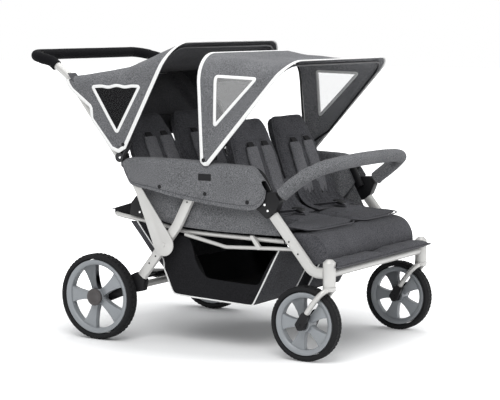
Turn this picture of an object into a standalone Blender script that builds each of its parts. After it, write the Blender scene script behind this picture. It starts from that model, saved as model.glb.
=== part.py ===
"""Four-seat stroller: two rows of two seats on a folding tube frame.

Metres. +X points forward, +Y to the stroller's left, +Z up, with the floor at z = 0. Side views are
written as (x, z) with x counted from the rear wheels' axle line; one empty then moves everything back
by ORIGIN_X, which puts the origin under the middle of the stroller.
"""

import math

import bmesh
import bpy
from mathutils import Matrix, Vector

ORIGIN_X = 0.29845

# Wheels
REAR_WHEEL_RADIUS = 0.150
REAR_WHEEL_WIDTH = 0.048
REAR_RIM_RADIUS = 0.1290
REAR_WHEEL_Y = 0.370
FRONT_WHEEL_RADIUS = 0.124
FRONT_WHEEL_WIDTH = 0.046
FRONT_RIM_RADIUS = 0.1040
FRONT_AXLE_X = 0.810
CASTOR_X = 0.895
CASTOR_Y = 0.340
WHEEL_SEGMENTS = 32
SPOKES = 5
RUN_GAP = 0.0005

# Frame joints in side view
LEG_PIVOT = (0.412, 0.612)
HANDLE_PIVOT = (0.068, 0.636)
LINK_PIVOT = (0.258, 0.346)
CANOPY_PIVOT = (0.430, 0.650)
REAR_CANOPY_PIVOT = (0.082, 0.637)
FRONT_BACK_PIVOT = (0.585, 0.447)
REAR_BACK_PIVOT = (0.175, 0.492)
BRAKE_PIVOT = (0.096, 0.206)
CROSS_TUBE = (0.145, 0.195)

# Tubes
LEG_Y = 0.335
LEG_THICK = 0.022
REAR_LEG_WIDTH = 0.039
FRONT_LEG_WIDTH = 0.037
RAIL_Y = 0.309
RAIL_HEIGHT = 0.026
RAIL_THICK = 0.016
SEAT_FRAME_Y = 0.300
SEAT_FRAME_RADIUS = 0.008
LOWER_RAIL_Y = 0.3165
LOWER_RAIL_RADIUS = 0.0065
HANDLE_RADIUS = 0.014
GRIP_RADIUS = 0.0195
BUMPER_RADIUS = 0.012
BUMPER_PAD_RADIUS = 0.0240
BOW_RADIUS = 0.004
BOW_INSET = 0.008
HEAD_TUBE_RADIUS = 0.021
HEAD_TUBE_Z = (0.251, 0.340)
LINK_Y = (0.3475, 0.3515)

# Seats
SEAT_CENTRE_Y = 0.1455
SEAT_WIDTH = 0.279
BACK_THICK = 0.040
REAR_BACK_ANGLE = 114.0
REAR_BACK_LENGTH = 0.325
FRONT_BACK_ANGLE = 110.0
FRONT_BACK_LENGTH = 0.340

# Canopies: each cloth fans out from its own point; angle, reach and straight half width of a U-shaped rib
COVER_THICK = 0.003
REAR_COVER_HUB = (0.0852, 0.6239)
FRONT_COVER_HUB = (0.4187, 0.5958)
REAR_COVER_TIP = 0.036
FRONT_COVER_TIP = 0.030
REAR_COVER_FRONT = {"angle": 60.7, "reach": 0.468, "half": 0.277, "corner": 0.095, "side": 0.3625}
REAR_COVER_BACK = {"angle": 130.8, "reach": 0.3724, "half": 0.320, "corner": 0.038, "side": 0.3625}
FRONT_COVER_FRONT = {"angle": 47.8, "reach": 0.512, "half": 0.287, "corner": 0.075, "side": 0.3625}
FRONT_COVER_BACK = {"angle": 94.4, "reach": 0.402, "half": 0.240, "corner": 0.107, "side": 0.3625}
REAR_COVER_SAG = 0.035
FRONT_COVER_SAG = 0.017
REAR_BOW_DROP = 0.016
FRONT_BOW_DROP = 0.020
FIXED_BOW_DROP = 0.003
REAR_BOW_START = 0.005
FRONT_BOW_START = 0.140
BOW_FOOT_Y = 0.3510
FIXED_BOW_FOOT = (0.410, 0.340, 0.652)
CURTAIN_REACH = (0.180, 0.3710)
CURTAIN_Y = 0.3150

SIDES = {"right": -1, "left": 1}


def material(name, color, roughness, metallic=0.0):
    """A plain Principled material."""
    made = bpy.data.materials.new(name)
    made.use_nodes = True
    shader = made.node_tree.nodes["Principled BSDF"]
    shader.inputs["Base Color"].default_value = (*color, 1.0)
    shader.inputs["Roughness"].default_value = roughness
    shader.inputs["Metallic"].default_value = metallic
    made.diffuse_color = (*color, 1.0)
    return made


class Pivot:
    """An empty on a joint's axis; everything that turns with it hangs from it."""

    def __init__(self, name, x=0.0, y=0.0, z=0.0, parent=None):
        self.point = Vector((x, y, z))
        self.empty = bpy.data.objects.new(name, None)
        self.empty.empty_display_size = 0.03
        bpy.context.collection.objects.link(self.empty)
        if parent is None:
            self.empty.location = self.point - Vector((ORIGIN_X, 0, 0))
        else:
            self.empty.parent = parent.empty
            self.empty.location = self.point - parent.point


def add(name, bm, surface, pivot):
    """Turn bm into the object called name, with its origin on the pivot."""
    bmesh.ops.recalc_face_normals(bm, faces=bm.faces)
    bmesh.ops.translate(bm, verts=bm.verts, vec=-pivot.point)
    mesh = bpy.data.meshes.new(name)
    bm.to_mesh(mesh)
    bm.free()
    mesh.materials.append(surface)
    mesh.shade_smooth()
    mesh.set_sharp_from_angle(angle=math.radians(40))
    made = bpy.data.objects.new(name, mesh)
    made.parent = pivot.empty
    bpy.context.collection.objects.link(made)
    return made


def combine(target, other, operation):
    """Boolean of two objects; the second one becomes a hidden cutter."""
    other.hide_render = True
    other.display_type = "WIRE"
    cut = target.modifiers.new(operation.lower(), "BOOLEAN")
    cut.operation = operation
    cut.object = other


def circle(radius, count):
    """Section points of a round tube."""
    step = math.tau / count
    return [(radius * math.cos(i * step), radius * math.sin(i * step)) for i in range(count)]


def oval(width, thick, count=4):
    """Section points of a flat-oval tube: thick along the first axis, width along the second."""
    r = thick / 2
    flat = width / 2 - r
    points = []
    for centre, start in ((flat, 0.0), (-flat, math.pi)):
        for i in range(count + 1):
            a = start + math.pi * i / count
            points.append((r * math.cos(a), centre + r * math.sin(a)))
    return points


def box_section(width, thick):
    """Section points of a rectangle: thick along the first axis, width along the second."""
    a, b = thick / 2, width / 2
    return [(a, -b), (a, b), (-a, b), (-a, -b)]


def fillet(points, radius, steps=5):
    """Round the inner corners of a polyline with arcs of the given radius."""
    points = [Vector(p) for p in points]
    out = [points[0]]
    for before, corner, after in zip(points, points[1:], points[2:]):
        u = (before - corner).normalized()
        v = (after - corner).normalized()
        half = u.angle(v) / 2
        reach = radius / math.tan(half)
        centre = corner + (u + v).normalized() * (radius / math.sin(half))
        start = corner + u * reach - centre
        end = corner + v * reach - centre
        turn = start.angle(end)
        for i in range(steps + 1):
            t = i / steps
            out.append(centre + (start * math.sin((1 - t) * turn) + end * math.sin(t * turn)) / math.sin(turn))
    out.append(points[-1])
    return out


def smooth(points, steps=4):
    """Catmull-Rom curve through the points."""
    points = [Vector(p) for p in points]
    ends = [points[0] * 2 - points[1]] + points + [points[-1] * 2 - points[-2]]
    out = []
    for a, b, c, d in zip(ends, ends[1:], ends[2:], ends[3:]):
        for i in range(steps):
            t = i / steps
            out.append(((2 * b) + (c - a) * t + (2 * a - 5 * b + 4 * c - d) * t * t
                        + (3 * b - a - 3 * c + d) * t * t * t) * 0.5)
    out.append(points[-1])
    return out


def side_path(points, y):
    """Side-view points as points in space on the plane at y."""
    return [Vector((x, y, z)) for x, z in points]


def both_sides(points):
    """A right-hand route from its end to the middle, and back down the left-hand side."""
    return points + [Vector((p.x, -p.y, p.z)) for p in reversed(points) if abs(p.y) > 1e-6]


def sweep(path, section, bore=None, first_side=(0, 1, 0)):
    """A closed tube of the given section along a path, with a bore if one is given."""
    bm = bmesh.new()
    side = Vector(first_side)
    loops = {"outer": [], "inner": []}
    last = None
    for i, point in enumerate(path):
        ahead = path[min(i + 1, len(path) - 1)] - path[max(i - 1, 0)]
        tangent = ahead.normalized()
        if last is not None:
            side = last.rotation_difference(tangent) @ side
        last = tangent
        side = (side - tangent * side.dot(tangent)).normalized()
        normal = tangent.cross(side)
        for kind, shape in (("outer", section), ("inner", bore)):
            if shape:
                loops[kind].append([bm.verts.new(point + side * a + normal * b) for a, b in shape])
    for rings in loops.values():
        for low, high in zip(rings, rings[1:]):
            for i in range(len(low)):
                j = (i + 1) % len(low)
                bm.faces.new((low[i], low[j], high[j], high[i]))
    for end in (0, -1):
        outer = loops["outer"][end]
        if bore:
            inner = loops["inner"][end]
            for i in range(len(outer)):
                j = (i + 1) % len(outer)
                bm.faces.new((outer[i], outer[j], inner[j], inner[i]))
        else:
            bm.faces.new(outer)
    return bm


def turned(profile, centre, axis, segments, closed=True, phase=0.0):
    """Turn (radius, height) points about an axis through centre; radius 0 closes on the axis."""
    bm = bmesh.new()
    spin = Vector((0, 0, 1)).rotation_difference(Vector(axis)).to_matrix()
    centre = Vector(centre)
    rings = []
    for radius, height in profile:
        if radius == 0:
            rings.append([bm.verts.new(centre + spin @ Vector((0, 0, height)))])
            continue
        ring = []
        for i in range(segments):
            a = math.tau * (i + phase) / segments
            ring.append(bm.verts.new(centre + spin @ Vector((radius * math.cos(a), radius * math.sin(a), height))))
        rings.append(ring)
    pairs = list(zip(rings, rings[1:]))
    if closed and len(rings[0]) > 1:
        pairs.append((rings[-1], rings[0]))
    for low, high in pairs:
        for i in range(segments):
            j = (i + 1) % segments
            corners = [low[i % len(low)], low[j % len(low)], high[j % len(high)], high[i % len(high)]]
            bm.faces.new(list(dict.fromkeys(corners)))
    return bm


def rod(start, end, radius, segments=12):
    """A solid round bar from start to end."""
    start, end = Vector(start), Vector(end)
    length = (end - start).length
    profile = [(0, 0), (radius, 0), (radius, length), (0, length)]
    return turned(profile, start, end - start, segments)


def plate(outline, y_from, y_to):
    """A side-view outline given thickness across the stroller."""
    bm = bmesh.new()
    low = [bm.verts.new((x, y_from, z)) for x, z in outline]
    high = [bm.verts.new((x, y_to, z)) for x, z in outline]
    bm.faces.new(low)
    bm.faces.new(list(reversed(high)))
    for i in range(len(outline)):
        j = (i + 1) % len(outline)
        bm.faces.new((low[j], low[i], high[i], high[j]))
    return bm


def block(low, high):
    """A box between two corners."""
    bm = bmesh.new()
    bmesh.ops.create_cube(bm, size=1)
    low, high = Vector(low), Vector(high)
    size = high - low
    bmesh.ops.scale(bm, vec=[abs(v) for v in size], verts=bm.verts)
    bmesh.ops.translate(bm, vec=(low + high) / 2, verts=bm.verts)
    return bm


def arc(centre, radius, start, end, steps):
    """Side-view points on an arc, angles in degrees."""
    out = []
    for i in range(steps + 1):
        a = math.radians(start + (end - start) * i / steps)
        out.append((centre[0] + radius * math.cos(a), centre[1] + radius * math.sin(a)))
    return out


def rounded(corners, radius, steps=3):
    """A closed outline with every corner rounded."""
    out = []
    count = len(corners)
    for i, corner in enumerate(corners):
        corner = Vector(corner)
        u = (Vector(corners[i - 1]) - corner).normalized()
        v = (Vector(corners[(i + 1) % count]) - corner).normalized()
        reach = radius / math.tan(u.angle(v) / 2)
        a, b = corner + u * reach, corner + v * reach
        for k in range(steps + 1):
            t = k / steps
            out.append(tuple(a * (1 - t) ** 2 + corner * 2 * t * (1 - t) + b * t ** 2))
    return out


def cushion(outline, thick, edge, crown):
    """A stuffed pad on the plane z = 0 to thick: rolled edges and a crowned top."""
    bm = bmesh.new()
    count = len(outline)
    middle = Vector((sum(p[0] for p in outline) / count, sum(p[1] for p in outline) / count))
    reach = min((Vector(p) - middle).length for p in outline)
    rolled = 1 - edge / reach
    levels = [(rolled, 0.0), (1 - 0.3 * edge / reach, 0.25 * edge), (1.0, edge), (1.0, thick - edge),
              (1 - 0.3 * edge / reach, thick - 0.25 * edge), (rolled, thick)]
    levels += [(0.70 * rolled, thick + 0.65 * crown), (0.36 * rolled, thick + 0.95 * crown)]
    rings = []
    for scale, height in levels:
        rings.append([bm.verts.new((*(middle + (Vector(p) - middle) * scale), height)) for p in outline])
    for low, high in zip(rings, rings[1:]):
        for i in range(count):
            j = (i + 1) % count
            bm.faces.new((low[i], low[j], high[j], high[i]))
    top = bm.verts.new((*middle, thick + crown))
    bm.faces.new(list(reversed(rings[0])))
    for i in range(count):
        bm.faces.new((rings[-1][i], rings[-1][(i + 1) % count], top))
    return bm


def rib(shape, hub, inset=0.0, start=0.03, arc_steps=5):
    """A U-shaped line from the right hub over the top to the left hub."""
    angle = math.radians(shape["angle"])
    reach = shape["reach"] - inset
    corner = shape["corner"] - inset
    half = shape["half"]
    side = shape["side"] - inset
    flat = [(start, side), (start + (reach - corner - start) * 0.5, (side + half + corner) / 2),
            (reach - corner, half + corner)]
    for i in range(1, arc_steps + 1):
        a = math.pi / 2 * i / arc_steps
        flat.append((reach - corner + corner * math.sin(a), half + corner * math.cos(a)))
    flat += [(reach, half * 0.5), (reach, 0.0)]
    right = [Vector((hub[0] + r * math.cos(angle), -y, hub[1] + r * math.sin(angle))) for r, y in flat]
    return both_sides(right)


def bow_shape(cover_edge, turn, drop):
    """The bow under a cover's edge: turned inward from the edge and shorter, to clear the cloth."""
    return dict(cover_edge, angle=cover_edge["angle"] + turn, reach=cover_edge["reach"] - drop)


def cover(name, front, back, hub, tip, sag, surface, pivot, rows=4):
    """A canopy cloth stretched from its back rib to its front rib; its middle sags toward the hub."""
    bm = bmesh.new()
    a, b = rib(back, hub, start=tip), rib(front, hub, start=tip)
    rings = []
    for i in range(rows + 1):
        t = i / rows
        mid = math.radians(back["angle"] + (front["angle"] - back["angle"]) * t)
        line = []
        for k, (p, q) in enumerate(zip(a, b)):
            point = p.lerp(q, t)
            if k in (0, len(a) - 1):
                point = Vector((hub[0] + tip * math.cos(mid), point.y, hub[1] + tip * math.sin(mid)))
            elif k not in (1, len(a) - 2):
                inward = Vector((hub[0] - point.x, 0, hub[1] - point.z)).normalized()
                point = point + inward * (4 * t * (1 - t) * sag)
            line.append(point)
        rings.append([bm.verts.new(p) for p in line])
    for low, high in zip(rings, rings[1:]):
        for i in range(len(low) - 1):
            bm.faces.new((low[i], low[i + 1], high[i + 1], high[i]))
    made = add(name, bm, surface, pivot)
    shell = made.modifiers.new("cloth", "SOLIDIFY")
    shell.thickness = COVER_THICK
    shell.offset = -1.0 if made.data.polygons[0].normal.y * -1 > 0 else 1.0
    return made


def rim(name, radius, width, hub_width, bore, centre, surface, pivot):
    """Wheel rim: ring, hub and five flared spokes as one moulding."""
    ring = [(radius - 0.020, -width * 0.40), (radius, -width * 0.36), (radius, width * 0.36),
            (radius - 0.020, width * 0.40)]
    made = add(name, turned(ring, centre, (0, 1, 0), WHEEL_SEGMENTS, phase=0.5), surface, pivot)
    hub = [(bore, -hub_width / 2), (0.026, -hub_width / 2), (0.026, hub_width / 2), (bore, hub_width / 2)]
    spider = bmesh.new()
    for i in range(SPOKES):
        turn = Matrix.Rotation(math.tau * (i + 0.25) / SPOKES, 4, "Y")
        inner, outer = 0.022, radius - 0.014
        verts = []
        for reach, half, depth in ((inner, 0.012, 0.016), (outer, 0.026, 0.012)):
            for x, y in ((-half, -depth), (half, -depth), (half, depth), (-half, depth)):
                verts.append(spider.verts.new(Vector(centre) + turn @ Vector((x, y, reach))))
        low, high = verts[:4], verts[4:]
        spider.faces.new(low)
        spider.faces.new(list(reversed(high)))
        for k in range(4):
            j = (k + 1) % 4
            spider.faces.new((low[j], low[k], high[k], high[j]))
    spokes = add(name + "_spokes", spider, surface, pivot)
    core = add(name + "_core", turned(hub, centre, (0, 1, 0), 16), surface, pivot)
    combine(made, spokes, "UNION")
    combine(made, core, "UNION")
    return made


def tyre(name, radius, inner, width, centre, surface, pivot):
    """Tyre with rounded shoulders; a flat of the tread lies on the floor."""
    out = radius / math.cos(math.pi / WHEEL_SEGMENTS)
    h = width / 2
    inner += 0.0004
    half = [(inner, 0.80), (out - 0.010, 1.0), (out - 0.002, 0.80), (out, 0.40)]
    profile = [(r, -h * w) for r, w in half] + [(r, h * w) for r, w in reversed(half)]
    return add(name, turned(profile, centre, (0, 1, 0), WHEEL_SEGMENTS, phase=0.5), surface, pivot)


def build_wheels(mats, frame, rear_frame):
    """Rear wheels on stub axles, and castors with their forks, axles and wheels."""
    for side, s in SIDES.items():
        y = s * REAR_WHEEL_Y
        centre = (0, y, REAR_WHEEL_RADIUS)
        wheel = Pivot(f"rear_wheel_axis_{side}", *centre, parent=rear_frame)
        rim(f"rear_rim_{side}", REAR_RIM_RADIUS, REAR_WHEEL_WIDTH, 0.044, 0.0066, centre, mats["rim"], wheel)
        tyre(f"rear_tyre_{side}", REAR_WHEEL_RADIUS, REAR_RIM_RADIUS, REAR_WHEEL_WIDTH, centre,
             mats["rubber"], wheel)
        cap = [(0, 0.0225), (0.028, 0.0225), (0.030, 0.0255), (0.027, 0.0300), (0.012, 0.0320), (0, 0.0320)]
        add(f"rear_hub_cap_{side}", turned(cap, centre, (0, s, 0), 20), mats["cap"], wheel)

        y = s * CASTOR_Y
        castor = Pivot(f"castor_axis_{side}", CASTOR_X, y, 0.20, parent=frame)
        crown = turned([(0, 0.2345), (0.017, 0.2345), (0.022, 0.238), (0.022, 0.2505), (0, 0.2505)],
                       (CASTOR_X, y, 0), (0, 0, 1), 18)
        fork = add(f"castor_fork_{side}", crown, mats["aluminium"], castor)
        for end in (-1, 1):
            route = [(CASTOR_X, 0.006, 0.2415), (0.892, 0.027, 0.2385), (0.876, 0.037, 0.222),
                     (0.850, 0.038, 0.190), (0.832, 0.038, 0.163)]
            path = smooth([(x, y + end * w, z) for x, w, z in route], 2)
            arm = add(f"castor_arm_{side}_{end + 1}", sweep(path, circle(0.009, 10), first_side=(1, 0, 0)),
                      mats["aluminium"], castor)
            combine(fork, arm, "UNION")

        centre = (FRONT_AXLE_X, y, FRONT_WHEEL_RADIUS)
        sleeve = rounded([(0.8429, 0.1555), (0.8205, 0.1687), (0.7935, 0.126), (0.804, 0.106), (0.822, 0.108)],
                         0.006, 2)
        axle = add(f"front_axle_{side}", rod((FRONT_AXLE_X, y - 0.050, FRONT_WHEEL_RADIUS),
                                             (FRONT_AXLE_X, y + 0.050, FRONT_WHEEL_RADIUS), 0.005, 12),
                   mats["plastic"], castor)
        for end in (-1, 1):
            shoe = add(f"axle_shoe_{side}_{end + 1}", plate(sleeve, y + end * 0.027, y + end * 0.048),
                       mats["plastic"], castor)
            combine(axle, shoe, "UNION")
        wheel = Pivot(f"front_wheel_axis_{side}", *centre, parent=castor)
        rim(f"front_rim_{side}", FRONT_RIM_RADIUS, FRONT_WHEEL_WIDTH, 0.050, 0.0056, centre, mats["rim"], wheel)
        tyre(f"front_tyre_{side}", FRONT_WHEEL_RADIUS, FRONT_RIM_RADIUS, FRONT_WHEEL_WIDTH, centre,
             mats["rubber"], wheel)


def build_rear_frame(mats, rear_frame):
    """Rear legs, their axle brackets with stub axles, the cross tube, the brake and the fold links."""
    links = Pivot("fold_link_axis", LINK_PIVOT[0], 0, LINK_PIVOT[1], parent=rear_frame)
    for side, s in SIDES.items():
        leg = fillet(side_path([(0.160, 0.230), (0.306, 0.413), (0.4155, 0.619)], s * LEG_Y), 0.15)
        add(f"rear_leg_{side}", sweep(leg, oval(REAR_LEG_WIDTH, LEG_THICK)), mats["aluminium"], rear_frame)

        outline = rounded([(0.1425, 0.2428), (0.1758, 0.2155), (0.168, 0.178), (0.110, 0.166), (0.016, 0.128),
                           (-0.022, 0.132), (-0.024, 0.168), (0.080, 0.212)], 0.008, 2)
        bracket = add(f"axle_bracket_{side}", plate(outline, s * 0.320, s * 0.3452), mats["plastic"], rear_frame)
        stub = rod((0, s * 0.330, REAR_WHEEL_RADIUS), (0, s * 0.3918, REAR_WHEEL_RADIUS), 0.006, 12)
        combine(bracket, add(f"stub_axle_{side}", stub, mats["plastic"], rear_frame), "UNION")

        low = arc(LINK_PIVOT, 0.040, 205, 400, 12)
        outline = low + [(0.186, 0.510), (0.130, 0.592), (0.116, 0.600), (0.103, 0.592), (0.147, 0.515)]
        link = add(f"fold_link_{side}", plate(outline, s * LINK_Y[0], s * LINK_Y[1]), mats["aluminium"], links)
        rivet = rod((LINK_PIVOT[0], s * 0.3495, LINK_PIVOT[1]), (LINK_PIVOT[0], s * 0.3540, LINK_PIVOT[1]), 0.008)
        combine(link, add(f"link_rivet_{side}", rivet, mats["aluminium"], links), "UNION")

    x, z = CROSS_TUBE
    add("rear_cross_tube", rod((x, -0.3194, z), (x, 0.3194, z), 0.0125), mats["aluminium"], rear_frame)

    x, z = BRAKE_PIVOT
    brake = Pivot("brake_axis", x, 0, z, parent=rear_frame)
    add("brake_shaft", rod((x, -0.3190, z), (x, 0.3190, z), 0.005, 12), mats["steel"], brake)
    bored = add("brake_pedal", plate(rounded([(x - 0.070, z - 0.004), (x - 0.070, z + 0.006), (x + 0.004, z + 0.011),
                                              (x + 0.011, z), (x + 0.004, z - 0.011)], 0.003, 2), -0.16, -0.07),
                mats["plastic"], brake)
    bore = add("brake_pedal_bore", rod((x, -0.2, z), (x, 0.0, z), 0.0054, 12), mats["plastic"], brake)
    combine(bored, bore, "DIFFERENCE")


def build_chassis(mats, frame):
    """Front legs, head tubes, rails, connectors, seat frame and the small brackets."""
    for side, s in SIDES.items():
        leg = fillet(side_path([(0.6845, 0.4695), (0.8320, 0.2920), (0.8735, 0.2920)], s * LEG_Y), 0.05)
        add(f"front_leg_{side}", sweep(leg, oval(FRONT_LEG_WIDTH, LEG_THICK)), mats["aluminium"], frame)

        z0, z1 = HEAD_TUBE_Z
        r = HEAD_TUBE_RADIUS
        head = [(0, z0), (r, z0), (r, z1 - 0.010), (0.010, z1), (0, z1)]
        add(f"head_tube_{side}", turned(head, (CASTOR_X, s * CASTOR_Y, 0), (0, 0, 1), 20), mats["aluminium"], frame)

        socket = rounded([(0.6675, 0.4580), (0.7005, 0.4840), (0.716, 0.520), (0.698, 0.547), (0.662, 0.545),
                          (0.630, 0.522), (0.628, 0.488)], 0.006, 2)
        add(f"connector_{side}", plate(socket, s * 0.3215, s * 0.3520), mats["plastic"], frame)

        rail = fillet(side_path([(0.060, 0.612), (0.618, 0.612), (0.668, 0.512)], s * RAIL_Y), 0.06)
        made = add(f"armrest_rail_{side}", sweep(rail, oval(RAIL_HEIGHT, RAIL_THICK)), mats["aluminium"], frame)
        for part, (x, z), radius, reach in (("hub", HANDLE_PIVOT, 0.020, 0.3200), ("boss", LEG_PIVOT, 0.011, 0.3235),
                                            ("lug", (0.663, 0.518), 0.009, 0.3212)):
            boss = add(f"rail_{part}_{side}", rod((x, s * 0.3050, z), (x, s * reach, z), radius),
                       mats["aluminium"], frame)
            combine(made, boss, "UNION")

        lower = fillet(side_path([(0.325, 0.382), (0.489, 0.350), (0.748, 0.360)], s * LOWER_RAIL_Y), 0.05, 3)
        made = add(f"lower_rail_{side}", sweep(lower, circle(LOWER_RAIL_RADIUS, 10)), mats["aluminium"], frame)
        strap = rounded([(0.582, 0.395), (0.596, 0.395), (0.629, 0.354), (0.614, 0.349)], 0.003, 2)
        strap = add(f"rail_strap_{side}", plate(strap, s * 0.3115, s * 0.3225), mats["aluminium"], frame)
        combine(made, strap, "UNION")

        outline = rounded([(0.098, 0.436), (0.104, 0.478), (0.126, 0.504), (0.146, 0.506), (0.196, 0.446),
                           (0.200, 0.424)], 0.006, 2)
        add(f"frame_bracket_{side}", plate(outline, s * 0.3086, s * 0.3206), mats["plastic"], frame)

    add("front_cross_tube", rod((0.893, -0.3180, 0.292), (0.893, 0.3180, 0.292), 0.013, 20), mats["aluminium"],
        frame)
    right = side_path([(0.712, 0.380), (0.320, 0.389), (0.186, 0.413), (0.000, 0.436)], -SEAT_FRAME_Y)
    route = fillet(right + [Vector((p.x, -p.y, p.z)) for p in reversed(right)], 0.055, 3)
    add("seat_frame", sweep(route, circle(SEAT_FRAME_RADIUS, 10)), mats["aluminium"], frame)


def handle_route():
    """Line of the push handle's tube, from the right hub round the top to the left hub."""
    right = side_path([HANDLE_PIVOT, (-0.150, 0.914), (-0.225, 0.966), (-0.318, 0.985)], -LEG_Y)
    return fillet(right + [Vector((p.x, -p.y, p.z)) for p in reversed(right)], 0.055, 3)


def build_handle(mats, handle):
    """Push handle: one bent tube with a foam grip over its top."""
    route = handle_route()
    add("handle_tube", sweep(route, circle(HANDLE_RADIUS, 12)), mats["aluminium"], handle)
    start = Vector((-0.200, -LEG_Y, 0.9487))
    gripped = [p for p in route if p.x < -0.205]
    path = [start] + gripped + [Vector((start.x, LEG_Y, start.z))]
    grip = sweep(path, circle(GRIP_RADIUS, 12), bore=circle(HANDLE_RADIUS + 0.0008, 12))
    add("handle_grip", grip, mats["foam"], handle)


def build_bumper(mats, bumper):
    """Padded bumper bar across the front seats."""
    right = [(0.7125, -0.335, 0.5380), (0.750, -0.335, 0.567), (0.798, -0.327, 0.604), (0.836, -0.285, 0.627),
             (0.850, -0.200, 0.635), (0.855, -0.100, 0.638), (0.856, 0.0, 0.639)]
    route = smooth(both_sides([Vector(p) for p in right]), 2)
    add("bumper_tube", sweep(route, circle(BUMPER_RADIUS, 8)), mats["plastic"], bumper)
    padded = route[2:-2]
    pad = sweep(padded, circle(BUMPER_PAD_RADIUS, 12), bore=circle(BUMPER_RADIUS + 0.0012, 12))
    add("bumper_pad", pad, mats["melange"], bumper)


def build_seats(mats, frame):
    """Four seat pads and four reclining backrests."""
    half = SEAT_WIDTH / 2
    for side, s in SIDES.items():
        centre = s * SEAT_CENTRE_Y
        px, pz = FRONT_BACK_PIVOT
        inner, outer = centre - s * half, centre + s * half
        lip = s * 0.3165
        front = [(px + 0.005, inner), (px + 0.005, outer), (0.7130, outer), (0.7190, lip), (0.800, lip),
                 (0.816, centre + s * 0.07), (0.816, inner + s * 0.07), (0.798, inner)]
        bm = cushion(rounded(front, 0.004, 1), 0.040, 0.010, 0.006)
        bmesh.ops.translate(bm, verts=bm.verts, vec=(0, 0, pz - 0.042))
        add(f"front_seat_{side}", bm, mats["seat"], frame)
        px, pz = REAR_BACK_PIVOT
        rear = [(px + 0.005, inner), (px + 0.005, outer), (0.430, outer), (0.430, inner)]
        bm = cushion(rounded(rear, 0.030, 3), 0.040, 0.012, 0.006)
        bmesh.ops.translate(bm, verts=bm.verts, vec=(0, 0, pz - 0.044))
        add(f"rear_seat_{side}", bm, mats["seat"], frame)

        for row, (px, pz), angle, length, taper in (
                ("front", FRONT_BACK_PIVOT, FRONT_BACK_ANGLE, FRONT_BACK_LENGTH, 0.88),
                ("rear", REAR_BACK_PIVOT, REAR_BACK_ANGLE, REAR_BACK_LENGTH, 0.80)):
            pivot = Pivot(f"{row}_recline_axis_{side}", px, centre, pz, parent=frame)
            top = half * taper
            outline = [(-half, 0.002), (half, 0.002), (half, length * 0.55), (top, length), (-top, length),
                       (-half, length * 0.55)]
            bm = cushion(rounded(outline, 0.045, 3), BACK_THICK, 0.012, 0.010)
            a = math.radians(angle)
            place = Matrix(((0, math.cos(a), math.sin(a), px), (1, 0, 0, centre),
                            (0, math.sin(a), -math.cos(a), pz), (0, 0, 0, 1)))
            bmesh.ops.translate(bm, verts=bm.verts, vec=(0, 0, -BACK_THICK - 0.004))
            bmesh.ops.transform(bm, matrix=place, verts=bm.verts)
            add(f"{row}_backrest_{side}", bm, mats["seat"], pivot)


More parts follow.
